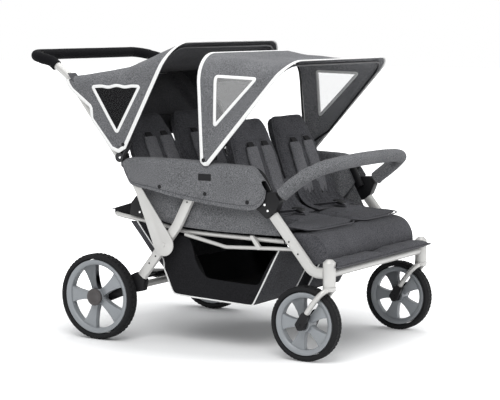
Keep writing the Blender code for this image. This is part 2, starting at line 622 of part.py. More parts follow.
def build_cloth(mats, frame, handle):
    """Seat sling, calf panel, foot shelf, side panels, basket and canopies."""
    sling = fillet(side_path([(-0.006, 0.4470), (0.100, 0.478), (0.165, 0.440), (0.432, 0.436), (0.450, 0.4025),
                              (0.790, 0.4020)], 0), 0.012, 3)
    add("seat_sling", sweep(sling, box_section(0.003, 0.576)), mats["black_cloth"], frame)

    calf = smooth(side_path([(0.801, 0.3945), (0.836, 0.389), (0.862, 0.368), (0.871, 0.338)], 0), 4)
    add("calf_panel", sweep(calf, box_section(0.012, 0.632)), mats["seat"], frame)

    shelf = [(0.850, -0.316), (0.918, -0.316), (0.9185, -0.344), (0.934, -0.344)]
    shelf += [(x, -y) for x, y in reversed(shelf)]
    bm = cushion(shelf, 0.015, 0.004, 0.002)
    bmesh.ops.translate(bm, verts=bm.verts, vec=(0, 0, 0.309))
    add("foot_shelf", bm, mats["seat"], frame)

    for side, s in SIDES.items():
        body = [(0.151, 0.526), (0.230, 0.431), (0.308, 0.410), (0.449, 0.3995), (0.696, 0.3995), (0.680, 0.485),
                (0.640, 0.500), (0.594, 0.590), (0.580, 0.597), (0.112, 0.597), (0.128, 0.536)]
        made = add(f"side_panel_{side}", plate(body, s * 0.2890, s * 0.3205), mats["melange"], frame)
        flap = [(0.107, 0.639), (0.606, 0.639), (0.650, 0.590), (0.664, 0.548), (0.652, 0.512), (0.600, 0.486),
                (0.350, 0.508), (0.245, 0.527), (0.132, 0.546), (0.092, 0.617)]
        flap = add(f"flap_{side}", plate(flap, s * 0.3525, s * 0.3570), mats["melange"], frame)
        inner = add(f"inner_panel_{side}", block((0.115, s * 0.2895, 0.560), (0.594, s * 0.2990, 0.6385)),
                    mats["melange"], frame)
        strip = add(f"top_strip_{side}", block((0.115, s * 0.2905, 0.6345), (0.602, s * 0.3560, 0.6385)),
                    mats["melange"], frame)
        notch = add(f"hub_notch_{side}", block((0.383, s * 0.2985, 0.6205), (0.437, s * 0.3490, 0.660)),
                    mats["melange"], frame)
        combine(made, inner, "UNION")
        combine(made, strip, "UNION")
        combine(made, flap, "UNION")
        combine(made, notch, "DIFFERENCE")

    tub = [(0.105, 0.398), (0.178, 0.304), (0.228, 0.258), (0.264, 0.174), (0.276, 0.166), (0.5814, 0.1530),
           (0.686, 0.350), (0.300, 0.372)]
    made = add("basket", plate(tub, -0.3045, 0.3045), mats["basket"], frame)
    hollow = [(0.112, 0.450), (0.183, 0.3065), (0.2335, 0.2600), (0.2690, 0.1790), (0.2790, 0.1722),
              (0.5797, 0.1592), (0.7328, 0.450)]
    scoop = [(0.335, 0.450), (0.352, 0.300), (0.400, 0.235), (0.6120, 0.2240), (0.7310, 0.450)]
    combine(made, add("basket_hollow", plate(hollow, -0.3005, 0.3005), mats["basket"], frame), "DIFFERENCE")
    combine(made, add("basket_scoop", plate(scoop, -0.32, 0.32), mats["basket"], frame), "DIFFERENCE")

    x, z = REAR_CANOPY_PIVOT
    bow_pivot = Pivot("rear_canopy_axis", x, 0, z, parent=handle)
    shape = bow_shape(REAR_COVER_FRONT, 1.0, REAR_BOW_DROP)
    route = rib(shape, REAR_COVER_HUB, BOW_INSET, REAR_BOW_START)
    bow = add("rear_canopy_bow", sweep(route, circle(BOW_RADIUS, 8)), mats["steel"], bow_pivot)
    for s in SIDES.values():
        eye = add(f"rear_bow_eye_{s}", rod((x, s * 0.3503, z), (x, s * 0.3590, z), 0.017), mats["plastic"], bow_pivot)
        combine(bow, eye, "UNION")
    cloth = cover("rear_canopy_cover", REAR_COVER_FRONT, REAR_COVER_BACK, REAR_COVER_HUB, REAR_COVER_TIP,
                  REAR_COVER_SAG, mats["melange"], handle)
    passage = sweep(handle_route(), circle(HANDLE_RADIUS + 0.0018, 12))
    hub_x, hub_z = REAR_COVER_HUB
    lean = math.radians(REAR_COVER_BACK["angle"])
    along = Vector((math.cos(lean), math.sin(lean)))
    across = Vector((-along.y, along.x)) * COVER_THICK / 2
    low, high = (Vector((hub_x, hub_z)) + along * reach for reach in CURTAIN_REACH)
    outline = [tuple(p) for p in (low - across, low + across, high + across, high - across)]
    curtain = add("rear_curtain", plate(outline, -CURTAIN_Y, CURTAIN_Y), mats["melange"], handle)
    combine(cloth, curtain, "UNION")
    combine(cloth, add("handle_passage", passage, mats["melange"], handle), "DIFFERENCE")

    x, z = CANOPY_PIVOT
    bow_pivot = Pivot("front_canopy_axis", x, 0, z, parent=frame)
    shape = bow_shape(FRONT_COVER_FRONT, 1.0, FRONT_BOW_DROP)
    route = rib(shape, FRONT_COVER_HUB, BOW_INSET, FRONT_BOW_START)
    route = [Vector((x, -BOW_FOOT_Y, z))] + route + [Vector((x, BOW_FOOT_Y, z))]
    bow = add("front_canopy_bow", sweep(route, circle(BOW_RADIUS, 8)), mats["steel"], bow_pivot)
    for s in SIDES.values():
        eye = add(f"front_bow_eye_{s}", rod((x, s * 0.3465, z), (x, s * 0.3555, z), 0.010), mats["plastic"], bow_pivot)
        combine(bow, eye, "UNION")
    shape = dict(bow_shape(FRONT_COVER_BACK, -1.0, FIXED_BOW_DROP), side=BOW_FOOT_Y)
    route = rib(shape, FRONT_COVER_HUB, BOW_INSET, FRONT_BOW_START)
    foot_x, foot_y, foot_z = FIXED_BOW_FOOT
    route = [Vector((foot_x, -foot_y, foot_z))] + route + [Vector((foot_x, foot_y, foot_z))]
    fixed = add("front_canopy_rear_bow", sweep(route, circle(BOW_RADIUS, 8)), mats["steel"], frame)
    for s in SIDES.values():
        foot = add(f"hub_foot_{s}", block((0.392, s * 0.3010, 0.6255), (0.428, s * 0.3174, 0.6540)),
                   mats["plastic"], frame)
        arm = add(f"hub_arm_{s}", block((0.400, s * 0.3010, 0.6400), (0.444, s * 0.3455, 0.6590)),
                  mats["plastic"], frame)
        combine(foot, arm, "UNION")
        combine(fixed, foot, "UNION")
    cover("front_canopy_cover", FRONT_COVER_FRONT, FRONT_COVER_BACK, FRONT_COVER_HUB, FRONT_COVER_TIP,
          FRONT_COVER_SAG, mats["melange"], frame)


def main():
    """Clear the file and build the stroller."""
    for old in list(bpy.data.objects):
        bpy.data.objects.remove(old)
    mats = {
        "aluminium": material("satin_aluminium", (0.78, 0.78, 0.77), 0.35, 0.9),
        "steel": material("dark_steel", (0.25, 0.25, 0.26), 0.40, 0.8),
        "plastic": material("black_plastic", (0.03, 0.03, 0.035), 0.50),
        "foam": material("black_foam", (0.025, 0.025, 0.03), 0.90),
        "rim": material("grey_plastic", (0.52, 0.54, 0.56), 0.45),
        "cap": material("dark_cap", (0.14, 0.13, 0.13), 0.50),
        "rubber": material("tyre_rubber", (0.035, 0.035, 0.035), 0.85),
        "melange": material("grey_melange", (0.22, 0.22, 0.23), 0.95),
        "seat": material("charcoal_cloth", (0.10, 0.10, 0.11), 0.95),
        "basket": material("basket_cloth", (0.05, 0.05, 0.055), 0.95),
        "black_cloth": material("black_cloth", (0.03, 0.03, 0.03), 0.95),
    }
    frame = Pivot("stroller")
    rear_frame = Pivot("rear_frame_axis", LEG_PIVOT[0], 0, LEG_PIVOT[1], parent=frame)
    handle = Pivot("handle_axis", HANDLE_PIVOT[0], 0, HANDLE_PIVOT[1], parent=frame)
    bumper = Pivot("bumper_seat", 0.7125, 0, 0.5380, parent=frame)
    build_wheels(mats, frame, rear_frame)
    build_rear_frame(mats, rear_frame)
    build_chassis(mats, frame)
    build_handle(mats, handle)
    build_bumper(mats, bumper)
    build_seats(mats, frame)
    build_cloth(mats, frame, handle)


main()
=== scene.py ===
# %% [markdown]
# # A four-seat stroller, dressed piece by piece
# The tube frame comes in ready made, as a fixed set of metal and plastic parts. This lesson adds what a
# frame alone lacks: cloth, padding, straps, piping, wheels with real tread, and the finish of each surface.
# Side-view sizes are measured forward from the rear axle, the way a workshop drawing of a stroller is.

# %% Load the frame
import math

import bmesh
import bpy
from mathutils import Matrix, Vector, noise
from mathutils.bvhtree import BVHTree


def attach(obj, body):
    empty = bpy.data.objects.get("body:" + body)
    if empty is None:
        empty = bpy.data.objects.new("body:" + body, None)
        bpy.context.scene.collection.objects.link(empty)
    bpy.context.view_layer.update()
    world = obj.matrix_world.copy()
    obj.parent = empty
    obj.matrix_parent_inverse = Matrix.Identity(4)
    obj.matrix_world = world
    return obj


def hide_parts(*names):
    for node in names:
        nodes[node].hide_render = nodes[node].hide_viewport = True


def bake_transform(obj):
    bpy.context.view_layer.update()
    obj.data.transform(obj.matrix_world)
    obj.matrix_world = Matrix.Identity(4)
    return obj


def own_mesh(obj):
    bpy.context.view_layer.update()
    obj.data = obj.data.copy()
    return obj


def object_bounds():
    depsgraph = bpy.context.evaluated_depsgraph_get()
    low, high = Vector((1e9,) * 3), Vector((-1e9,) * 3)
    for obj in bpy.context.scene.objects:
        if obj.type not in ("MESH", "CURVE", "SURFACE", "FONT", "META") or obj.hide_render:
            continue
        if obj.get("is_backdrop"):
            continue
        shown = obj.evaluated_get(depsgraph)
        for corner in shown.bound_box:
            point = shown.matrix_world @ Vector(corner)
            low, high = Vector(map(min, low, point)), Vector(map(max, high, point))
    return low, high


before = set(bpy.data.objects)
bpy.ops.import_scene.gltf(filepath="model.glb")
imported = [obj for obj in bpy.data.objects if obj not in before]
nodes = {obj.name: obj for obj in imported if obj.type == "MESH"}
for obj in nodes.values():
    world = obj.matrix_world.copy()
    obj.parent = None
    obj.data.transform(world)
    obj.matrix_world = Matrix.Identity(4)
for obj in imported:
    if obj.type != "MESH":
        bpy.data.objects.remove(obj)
cad_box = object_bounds()
AXLE_TO_MIDDLE = 0.29845
SIDES = {"right": -1, "left": 1}
noise.seed_set(1)  # the grip's and the bumper's small ripples come out alike each time
print("frame loaded:", len(nodes), "nodes")


def at(x, y, z):
    """A point whose x is counted from the rear axle."""
    return Vector((x - AXLE_TO_MIDDLE, y, z))


# %% [markdown]
# ## Small tools
# Blender's operators act on whatever is selected, so each step first selects exactly one piece. A finished
# piece keeps its place in its own mesh and rides on one of the frame's moving bodies.

# %% Selecting, shaping and finishing one piece
def only(piece):
    """Select this piece and nothing else."""
    bpy.ops.object.select_all(action="DESELECT")
    piece.select_set(True)
    bpy.context.view_layer.objects.active = piece


def named(name):
    """Name the piece that an operator has just made."""
    piece = bpy.context.object
    piece.name = name
    piece.data.name = name
    return piece


def apply_modifiers(piece):
    """Make every modifier of the piece part of its mesh."""
    only(piece)
    for step in list(piece.modifiers):
        bpy.ops.object.modifier_apply(modifier=step.name)


def thicken(piece, thickness):
    """Give a sheet its real thickness, half on each side."""
    wall = piece.modifiers.new("wall", "SOLIDIFY")
    wall.thickness = thickness
    wall.offset = 0.0
    apply_modifiers(piece)


def soften(piece, width):
    """Round off the sharp edges."""
    edge = piece.modifiers.new("edge", "BEVEL")
    edge.width = width
    edge.segments = 2
    edge.limit_method = "ANGLE"
    edge.angle_limit = math.radians(40)
    apply_modifiers(piece)


def finish_piece(piece, finish, body, smooth=45):
    """Fix the piece in its place, give it a finish and let it ride on a body."""
    only(piece)
    bpy.ops.object.transform_apply(location=True, rotation=True, scale=True)
    piece.data.materials.clear()
    piece.data.materials.append(finish)
    bpy.ops.object.shade_smooth_by_angle(angle=math.radians(smooth))
    if body:
        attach(piece, body)


def twin(piece, name, mirror=True):
    """A copy with its own mesh, mirrored to the other side of the stroller."""
    copy = piece.copy()
    copy.data = piece.data.copy()
    copy.name = name
    bpy.context.collection.objects.link(copy)
    if mirror:
        copy.data.transform(Matrix.Scale(-1, 4, (0, 1, 0)))
        copy.data.flip_normals()
    return copy


WELD = 0.00002


def start_edit(piece):
    """Open the piece's mesh with everything selected."""
    only(piece)
    bpy.ops.object.mode_set(mode="EDIT")
    bpy.ops.mesh.select_all(action="SELECT")


def end_edit():
    """Close the open mesh."""
    bpy.ops.object.mode_set(mode="OBJECT")


def crosswise_cylinder(name, vertices, radius, depth, location=(0, 0, 0)):
    """A cylinder whose axis runs across the stroller."""
    bpy.ops.mesh.primitive_cylinder_add(vertices=vertices, radius=radius, depth=depth,
                                        rotation=(math.pi / 2, 0, 0), location=location)
    piece = named(name)
    bpy.ops.object.transform_apply(location=True, rotation=True, scale=True)
    return piece


def on_both_sides(piece, finish, body):
    """Finish the right-hand piece, mirror it and finish its twin."""
    for side in SIDES:
        finish_piece(on_side(piece, side), finish, body)


def on_side(piece, side):
    """The piece itself on the right, and a mirrored copy of it on the left."""
    return piece if side == "right" else twin(piece, piece.name.replace("_right", "_left"))


# %% Lines, grids and blocks that are laid out by a rule
def line_through(points, steps=6, closed=False):
    """A smooth line through the points."""
    points = [Vector(p) for p in points]
    if closed:
        ring = [points[-1]] + points + points[:2]
    else:
        ring = [points[0] * 2 - points[1]] + points + [points[-1] * 2 - points[-2]]
    line = []
    for a, b, c, d in zip(ring, ring[1:], ring[2:], ring[3:]):
        for i in range(steps):
            t = i / steps
            line.append((2 * b + (c - a) * t + (2 * a - 5 * b + 4 * c - d) * t * t
                         + (3 * b - a - 3 * c + d) * t ** 3) * 0.5)
    if not closed:
        line.append(points[-1])
    return line


def side_line(points, steps):
    """A smooth line in the middle plane through (x, z) points that are counted from the rear axle."""
    return line_through([at(x, 0, z) for x, z in points], steps)


def plan_line(points, steps):
    """The same in plain (x, z), for rules that count from the axle themselves."""
    return line_through([Vector((x, 0, z)) for x, z in points], steps)


def at_share(t, *lines):
    """The points at the share t of several lines with equally many points."""
    k = t * (len(lines[0]) - 1)
    i = min(int(k), len(lines[0]) - 2)
    return [line[i].lerp(line[i + 1], k - i) for line in lines]


def spot(line, t):
    """The point at the fraction t along a line of points."""
    lengths = [0.0]
    for a, b in zip(line, line[1:]):
        lengths.append(lengths[-1] + (b - a).length)
    goal = max(0.0, min(1.0, t)) * lengths[-1]
    for i, (low, high) in enumerate(zip(lengths, lengths[1:])):
        if goal <= high or i == len(line) - 2:
            span = max(high - low, 1e-9)
            return line[i].lerp(line[i + 1], (goal - low) / span)


def ease(t):
    """A soft step from 0 to 1."""
    t = max(0.0, min(1.0, t))
    return t * t * (3 - 2 * t)


def laid_sheet(name, across, along, rule):
    """A grid whose points are laid out by rule(u, v), with u and v from 0 to 1."""
    bpy.ops.mesh.primitive_grid_add(x_subdivisions=across, y_subdivisions=along, size=1)
    sheet = named(name)
    for point in sheet.data.vertices:
        point.co = rule(point.co.x + 0.5, point.co.y + 0.5)
    sheet.data.update()
    return sheet


def laid_block(name, cuts, rule):
    """A cube cut into small faces, its points laid out by rule(u, v, w)."""
    bpy.ops.mesh.primitive_cube_add(size=1)
    block = named(name)
    start_edit(block)
    bpy.ops.mesh.subdivide(number_cuts=cuts)
    end_edit()
    for point in block.data.vertices:
        point.co = rule(point.co.x + 0.5, point.co.y + 0.5, point.co.z + 0.5)
    block.data.update()
    return block


def pipe(name, line, radius, closed=False, sides=3):
    """A round cord or tube along a line, turned into a mesh."""
    bpy.ops.curve.primitive_nurbs_path_add()
    cord = named(name)
    shape = cord.data
    shape.splines.clear()
    run = shape.splines.new("POLY")
    run.points.add(len(line) - 1)
    for point, place in zip(run.points, line):
        point.co = (*place, 1.0)
    run.use_cyclic_u = closed
    shape.bevel_depth = radius
    shape.bevel_resolution = sides
    shape.use_fill_caps = not closed
    only(cord)
    bpy.ops.object.convert(target="MESH")
    return bpy.context.object


def flat_strap(name, line, across, width, thickness, cuts=30):
    """Webbing of a given width along a line."""
    across = Vector(across)
    strap = laid_sheet(name, 4, cuts, lambda u, v: spot(line, v) + across * ((u - 0.5) * width))
    thicken(strap, thickness)
    return strap


# %% Sheets of cloth and the sizes they were cut to
def run_length(places):
    """The length of a line through the places."""
    return sum((b - a).length for a, b in zip(places, places[1:]))


def rounded_up(size):
    """A size in metres, rounded up to the next millimetre."""
    return math.ceil(size * 1000) / 1000


def flat_area(sheet):
    """The area of a sheet before it gets its thickness."""
    return sum(face.area for face in sheet.data.polygons)


def cloth_piece(name, cuts, rule, wall, finish, body="chassis", smooth=60, node=None):
    """One sheet, laid, thickened and finished."""
    sheet = laid_sheet(name, *cuts, rule)
    thicken(sheet, wall)
    finish_piece(sheet, finish, body, smooth)
    if node:
        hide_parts(node)
    return sheet


# %% [markdown]
# ## Camera first
# The photograph's viewing angle is set before anything is modelled. The camera stands six metres off with a long
# lens, which keeps the far wheels nearly as large as the near ones.

# %% Camera
LENS_MM = 122.4
CAMERA_DISTANCE = 6.003
turn = math.radians(31.25)
rise = math.radians(6.08)
LOOKED_AT = at(0.390, 0, 0.474)
towards_camera = Vector((math.sin(turn) * math.cos(rise), -math.cos(turn) * math.cos(rise), math.sin(rise)))
bpy.ops.object.camera_add(location=LOOKED_AT + towards_camera * CAMERA_DISTANCE)
camera = bpy.context.object
camera.data.lens = LENS_MM
camera.data.sensor_width = 36
camera.rotation_euler = towards_camera.to_track_quat("Z", "Y").to_euler()
bpy.context.scene.camera = camera
print("camera at", [round(v, 2) for v in camera.location])

# %% [markdown]
# ## Finishes
# Each finish is a small network of nodes on Object coordinates, so it needs no unwrapping. Cloth has three
# layers: a broad fading of the colour, the speckle of a melange yarn, and a fine weave in the bump.

# %% Node helpers
def add_node(tree, kind, inputs=None, **settings):
    """A shader node with its settings, and its inputs set or linked."""
    made = tree.nodes.new(kind)
    for key, value in settings.items():
        setattr(made, key, value)
    for key, value in (inputs or {}).items():
        if isinstance(value, bpy.types.NodeSocket):
            tree.links.new(value, made.inputs[key])
        else:
            made.inputs[key].default_value = value
    return made


def new_finish(name, roughness, metallic=0.0, gloss=0.5):
    """An empty finish, its tree, its shader and the coordinates that patterns read."""
    finish = bpy.data.materials.new(name)
    finish.use_nodes = True
    tree = finish.node_tree
    shader = tree.nodes["Principled BSDF"]
    shader.inputs["Roughness"].default_value = roughness
    shader.inputs["Metallic"].default_value = metallic
    shader.inputs["Specular IOR Level"].default_value = gloss
    coords = add_node(tree, "ShaderNodeTexCoord").outputs["Object"]
    return finish, tree, shader, coords


def ramp(tree, factor, stops):
    """A colour ramp with the given (position, colour) stops."""
    made = add_node(tree, "ShaderNodeValToRGB", {"Fac": factor})
    bar = made.color_ramp
    while len(bar.elements) < len(stops):
        bar.elements.new(0.5)
    for element, (position, colour) in zip(bar.elements, stops):
        element.position = position
        element.color = (*colour, 1.0)
    return made.outputs["Color"]


def bump(tree, shader, height, strength, distance):
    """Let a pattern raise the surface."""
    made = add_node(tree, "ShaderNodeBump", {"Height": height, "Strength": strength, "Distance": distance})
    tree.links.new(made.outputs["Normal"], shader.inputs["Normal"])


# %% Cloth finishes
THREAD_SCALE = 900.0 / 6.2832
FADE = 0.12


def woven(name, dark, light, speckle):
    """A melange cloth: speckled yarn, soft fading and a fine plain weave."""
    finish, tree, shader, coords = new_finish(name, 0.92, gloss=0.10)
    yarn = add_node(tree, "ShaderNodeTexNoise",
                    {"Vector": coords, "Scale": speckle, "Detail": 3.0, "Roughness": 0.7})
    broad = add_node(tree, "ShaderNodeTexNoise", {"Vector": coords, "Scale": 9.0, "Detail": 2.0})
    speckled = ramp(tree, yarn.outputs["Fac"], [(0.36, dark), (0.64, light)])
    faded = ramp(tree, broad.outputs["Fac"], [(0.3, (1 - FADE,) * 3), (0.7, (1 + FADE * 0.4,) * 3)])
    mixed = add_node(tree, "ShaderNodeMix", {0: 1.0, 6: speckled, 7: faded}, data_type="RGBA",
                     blend_type="MULTIPLY")
    tree.links.new(mixed.outputs[2], shader.inputs["Base Color"])
    warp, weft = (add_node(tree, "ShaderNodeTexWave", {"Vector": coords, "Scale": THREAD_SCALE, "Distortion": 0.6},
                           bands_direction=way).outputs["Fac"] for way in "XZ")
    weave = add_node(tree, "ShaderNodeMath", {0: warp, 1: weft}, operation="MULTIPLY")
    both = add_node(tree, "ShaderNodeMath", {0: weave.outputs[0], 1: yarn.outputs["Fac"]}, operation="ADD")
    bump(tree, shader, both.outputs[0], 0.35, 0.0008)
    shader.inputs["Sheen Weight"].default_value = 0.03
    return finish


melange_grey = woven("melange_grey_cloth", (0.060, 0.061, 0.065), (0.225, 0.227, 0.236), speckle=340.0)
charcoal = woven("charcoal_seat_cloth", (0.036, 0.036, 0.040), (0.104, 0.104, 0.113), speckle=300.0)
pad_grey = woven("shoulder_pad_cloth", (0.085, 0.085, 0.091), (0.190, 0.190, 0.202), speckle=300.0)
basket_black = woven("basket_cloth", (0.007, 0.007, 0.008), (0.017, 0.017, 0.019), speckle=300.0)
basket_grey = woven("basket_end_cloth", (0.028, 0.028, 0.031), (0.090, 0.090, 0.098), speckle=280.0)
sling_black = woven("sling_cloth", (0.008, 0.008, 0.009), (0.020, 0.020, 0.022), speckle=300.0)
lining_dark = woven("canopy_lining", (0.040, 0.040, 0.043), (0.105, 0.105, 0.112), speckle=300.0)
# The front canopy's inside is the same melange grey as its outside. Its lighter colour here is painted light,
# standing in for the light that doesn't reach under the canopy.
front_lining_painted_light = woven("front_canopy_lining", (0.150, 0.150, 0.158), (0.380, 0.382, 0.396), speckle=300.0)


def ribbed(name, colour, pitch, roughness):
    """Narrow woven tape or webbing, ribbed along its length."""
    finish, tree, shader, coords = new_finish(name, roughness, gloss=0.15)
    grain = add_node(tree, "ShaderNodeTexNoise", {"Vector": coords, "Scale": 500.0, "Detail": 2.0})
    low = tuple(c * 0.86 for c in colour)
    tree.links.new(ramp(tree, grain.outputs["Fac"], [(0.35, low), (0.65, colour)]), shader.inputs["Base Color"])
    ribs = add_node(tree, "ShaderNodeTexWave", {"Vector": coords, "Scale": 1.0 / pitch, "Distortion": 0.4},
                    bands_direction="DIAGONAL")
    bump(tree, shader, ribs.outputs["Fac"], 0.3, 0.0006)
    return finish


white_tape = ribbed("white_binding_tape", (0.86, 0.86, 0.85), 0.012, 0.75)
grey_tape = ribbed("charcoal_binding_tape", (0.085, 0.085, 0.092), 0.012, 0.8)
webbing = ribbed("black_webbing", (0.016, 0.016, 0.017), 0.015, 0.7)


def window_mesh(name, colour, alpha):
    """Fine see-through netting."""
    finish, tree, shader, coords = new_finish(name, 0.6, gloss=0.1)
    threads = add_node(tree, "ShaderNodeTexVoronoi", {"Vector": coords, "Scale": 420.0},
                       feature="DISTANCE_TO_EDGE")
    darker = tuple(c * 0.8 for c in colour)
    tree.links.new(ramp(tree, threads.outputs["Distance"], [(0.02, colour), (0.12, darker)]),
                   shader.inputs["Base Color"])
    shader.inputs["Alpha"].default_value = alpha
    return finish


pale_net = window_mesh("pale_window_net", (0.50, 0.50, 0.50), 0.24)
black_net = window_mesh("black_window_net", (0.016, 0.016, 0.017), 0.66)

# %% [markdown]
# Metal and plastic look flat if one number sets their gloss, so a faint grain varies the roughness, and a
# bump gives moulded plastic its orange peel and the foam its pores.

# %% Metal, plastic, foam and rubber
def solid_finish(name, colour, roughness, metallic=0.0, grain=60.0, spread=0.06, lift=0.0002, wear=0.06,
                 gloss=0.35):
    """A hard finish with a fine grain in its gloss and a slight change of tone."""
    finish, tree, shader, coords = new_finish(name, roughness, metallic, gloss)
    fine = add_node(tree, "ShaderNodeTexNoise", {"Vector": coords, "Scale": grain * 10, "Detail": 3.0})
    broad = add_node(tree, "ShaderNodeTexNoise", {"Vector": coords, "Scale": 14.0, "Detail": 3.0})
    low = tuple(c * (1 - wear) for c in colour)
    tree.links.new(ramp(tree, broad.outputs["Fac"], [(0.3, low), (0.7, colour)]), shader.inputs["Base Color"])
    varied = add_node(tree, "ShaderNodeMapRange", {"Value": fine.outputs["Fac"], "To Min": roughness - spread,
                                                   "To Max": roughness + spread})
    tree.links.new(varied.outputs["Result"], shader.inputs["Roughness"])
    bump(tree, shader, fine.outputs["Fac"], 0.15, lift)
    return finish


satin_aluminium = solid_finish("satin_aluminium", (0.52, 0.515, 0.50), 0.42, 0.35, grain=70)
bright_rivet = solid_finish("bright_rivet_steel", (0.80, 0.80, 0.80), 0.22, 0.9, grain=40)
black_plastic = solid_finish("black_moulded_plastic", (0.007, 0.007, 0.008), 0.45, grain=80, lift=0.0004,
                             gloss=0.2)
black_foam = solid_finish("black_grip_foam", (0.006, 0.006, 0.007), 0.85, grain=110, lift=0.0015, gloss=0.08)
rim_grey = solid_finish("silver_grey_rim", (0.27, 0.285, 0.30), 0.40, 0.15, grain=50)
cap_brown = solid_finish("dark_hub_cap", (0.060, 0.054, 0.054), 0.40, grain=60)
tyre_black = solid_finish("tyre_rubber", (0.013, 0.013, 0.014), 0.75, grain=60, lift=0.0010, gloss=0.15)
bow_steel = solid_finish("dark_bow_steel", (0.03, 0.03, 0.032), 0.4, 0.6)
print("finishes:", len(bpy.data.materials))

# %% [markdown]
# ## The tube frame keeps its shape
# The legs, rails, forks and brackets are already right. Their triangles come in loose, so a Weld modifier
# joins them, a small Bevel rounds the moulded parts, and an Edge Split keeps the true edges crisp while the
# rounds shade smoothly.

# %% Finishes for the frame's own parts
FRAME_FINISHES = {
    "satin_aluminium": ("castor_fork", "fold_link", "front_leg", "front_cross_tube", "head_tube",
                        "lower_rail", "rear_leg", "rear_cross_tube", "seat_frame"),
    "black_moulded_plastic": ("armrest_rail", "axle_bracket", "brake_pedal", "bumper_tube", "connector",
                              "frame_bracket", "front_axle"),
    "dark_bow_steel": ("brake_shaft", "front_canopy_bow", "front_canopy_rear_bow", "rear_canopy_bow"),
}
ROUNDED_PARTS = ("axle_bracket", "brake_pedal", "connector", "frame_bracket", "fold_link", "head_tube")


def tidy_part(part, rounded):
    """Weld, round and smooth one part of the frame without touching its mesh."""
    weld = part.modifiers.new("weld", "WELD")
    weld.merge_threshold = WELD
    if rounded:
        edge = part.modifiers.new("edge", "BEVEL")
        edge.width = 0.0012
        edge.segments = 2
        edge.limit_method = "ANGLE"
        edge.angle_limit = math.radians(45)
    split = part.modifiers.new("split", "EDGE_SPLIT")
    split.split_angle = math.radians(38)
    part.data.polygons.foreach_set("use_smooth", [True] * len(part.data.polygons))


for finish_name, stems in FRAME_FINISHES.items():
    for node_name, part in nodes.items():
        stem = node_name.replace("_left", "").replace("_right", "")
        if stem in stems:
            part.data.materials.clear()
            part.data.materials.append(bpy.data.materials[finish_name])
            tidy_part(part, stem in ROUNDED_PARTS)

# %% [markdown]
# ## Wheels
# A stroller wheel is a dished plastic rim with a rubber tyre pressed on. The rim starts as a cylinder whose
# ends are inset and opened, so that bridging the two holes makes a ring. One spoke is shaped and copied
# round by Spin. The tyre starts as a torus that is flattened at the tread, and one tread block is spun into
# two staggered rows.

# %% One rim
SIDEWAYS = 0.9
HUB_RADIUS = 0.026


def select_faces(piece, test):
    """In edit mode, select the faces for which the test is true."""
    mesh = bmesh.from_edit_mesh(piece.data)
    bpy.ops.mesh.select_all(action="DESELECT")
    for face in mesh.faces:
        face.select_set(test(face))
    bmesh.update_edit_mesh(piece.data)


def faces_sideways(face):
    """True for a face that looks left or right."""
    return abs(face.normal.y) > SIDEWAYS


def wheel_ring(radius, width, wall):
    """The ring of a rim, open in its middle."""
    ring = crosswise_cylinder("rim_ring", 80, radius, width)
    start_edit(ring)
    select_faces(ring, faces_sideways)
    bpy.ops.mesh.inset(thickness=wall * 0.35, depth=0, use_individual=True)
    bpy.ops.mesh.inset(thickness=wall * 0.65, depth=-0.006, use_individual=True)
    bpy.ops.mesh.delete(type="FACE")
    bpy.ops.mesh.select_all(action="DESELECT")
    bpy.ops.mesh.select_non_manifold()
    bpy.ops.mesh.bridge_edge_loops()
    bpy.ops.mesh.select_all(action="SELECT")
    bpy.ops.mesh.normals_make_consistent(inside=False)
    end_edit()
    return ring


def wheel_spokes(inner, outer, slim, wide, deep, count=5):
    """Flared spokes with a sunken face on each side."""
    bpy.ops.mesh.primitive_cube_add(size=1)
    spoke = named("rim_spokes")
    start_edit(spoke)
    select_faces(spoke, faces_sideways)
    bpy.ops.mesh.inset(thickness=0.16, depth=0.0, use_individual=True)
    bpy.ops.mesh.inset(thickness=0.06, depth=-0.18, use_individual=True)
    bpy.ops.mesh.select_all(action="SELECT")
    bpy.ops.mesh.subdivide(number_cuts=2)
    end_edit()
    for point in spoke.data.vertices:
        t = point.co.z + 0.5
        flare = slim + (wide - slim) * t ** 2.2
        depth = deep * (1 - 0.25 * t)
        point.co = Vector((point.co.x * 2 * flare, point.co.y * 2 * depth, inner + (outer - inner) * t))
    start_edit(spoke)
    bpy.ops.transform.rotate(value=math.radians(18), orient_axis="Y", center_override=(0, 0, 0))
    bpy.ops.mesh.spin(steps=count, dupli=True, angle=math.tau, center=(0, 0, 0), axis=(0, 1, 0))
    bpy.ops.mesh.remove_doubles(threshold=0.00005)
    end_edit()
    soften(spoke, 0.0012)
    return spoke


def joined(name, pieces):
    """Join pieces into one mesh."""
    bpy.ops.object.select_all(action="DESELECT")
    for piece in pieces:
        piece.select_set(True)
    bpy.context.view_layer.objects.active = pieces[0]
    bpy.ops.object.join()
    return named(name)


def make_rim(name, radius, width, hub_width):
    """Ring, spokes and hub of one wheel."""
    ring = wheel_ring(radius, width * 0.80, 0.018)
    soften(ring, 0.0015)
    spokes = wheel_spokes(0.020, radius - 0.012, 0.012, 0.032, 0.013)
    hub = crosswise_cylinder("rim_hub", 40, HUB_RADIUS, hub_width * 0.96)
    start_edit(hub)
    select_faces(hub, faces_sideways)
    bpy.ops.mesh.inset(thickness=0.006, depth=0, use_individual=True)
    bpy.ops.mesh.inset(thickness=0.002, depth=-0.003, use_individual=True)
    end_edit()
    soften(hub, 0.0012)
    return joined(name, [ring, spokes, hub])


# %% One tyre
TREAD_BLOCKS = 54
TUBE_RADIUS = 0.010


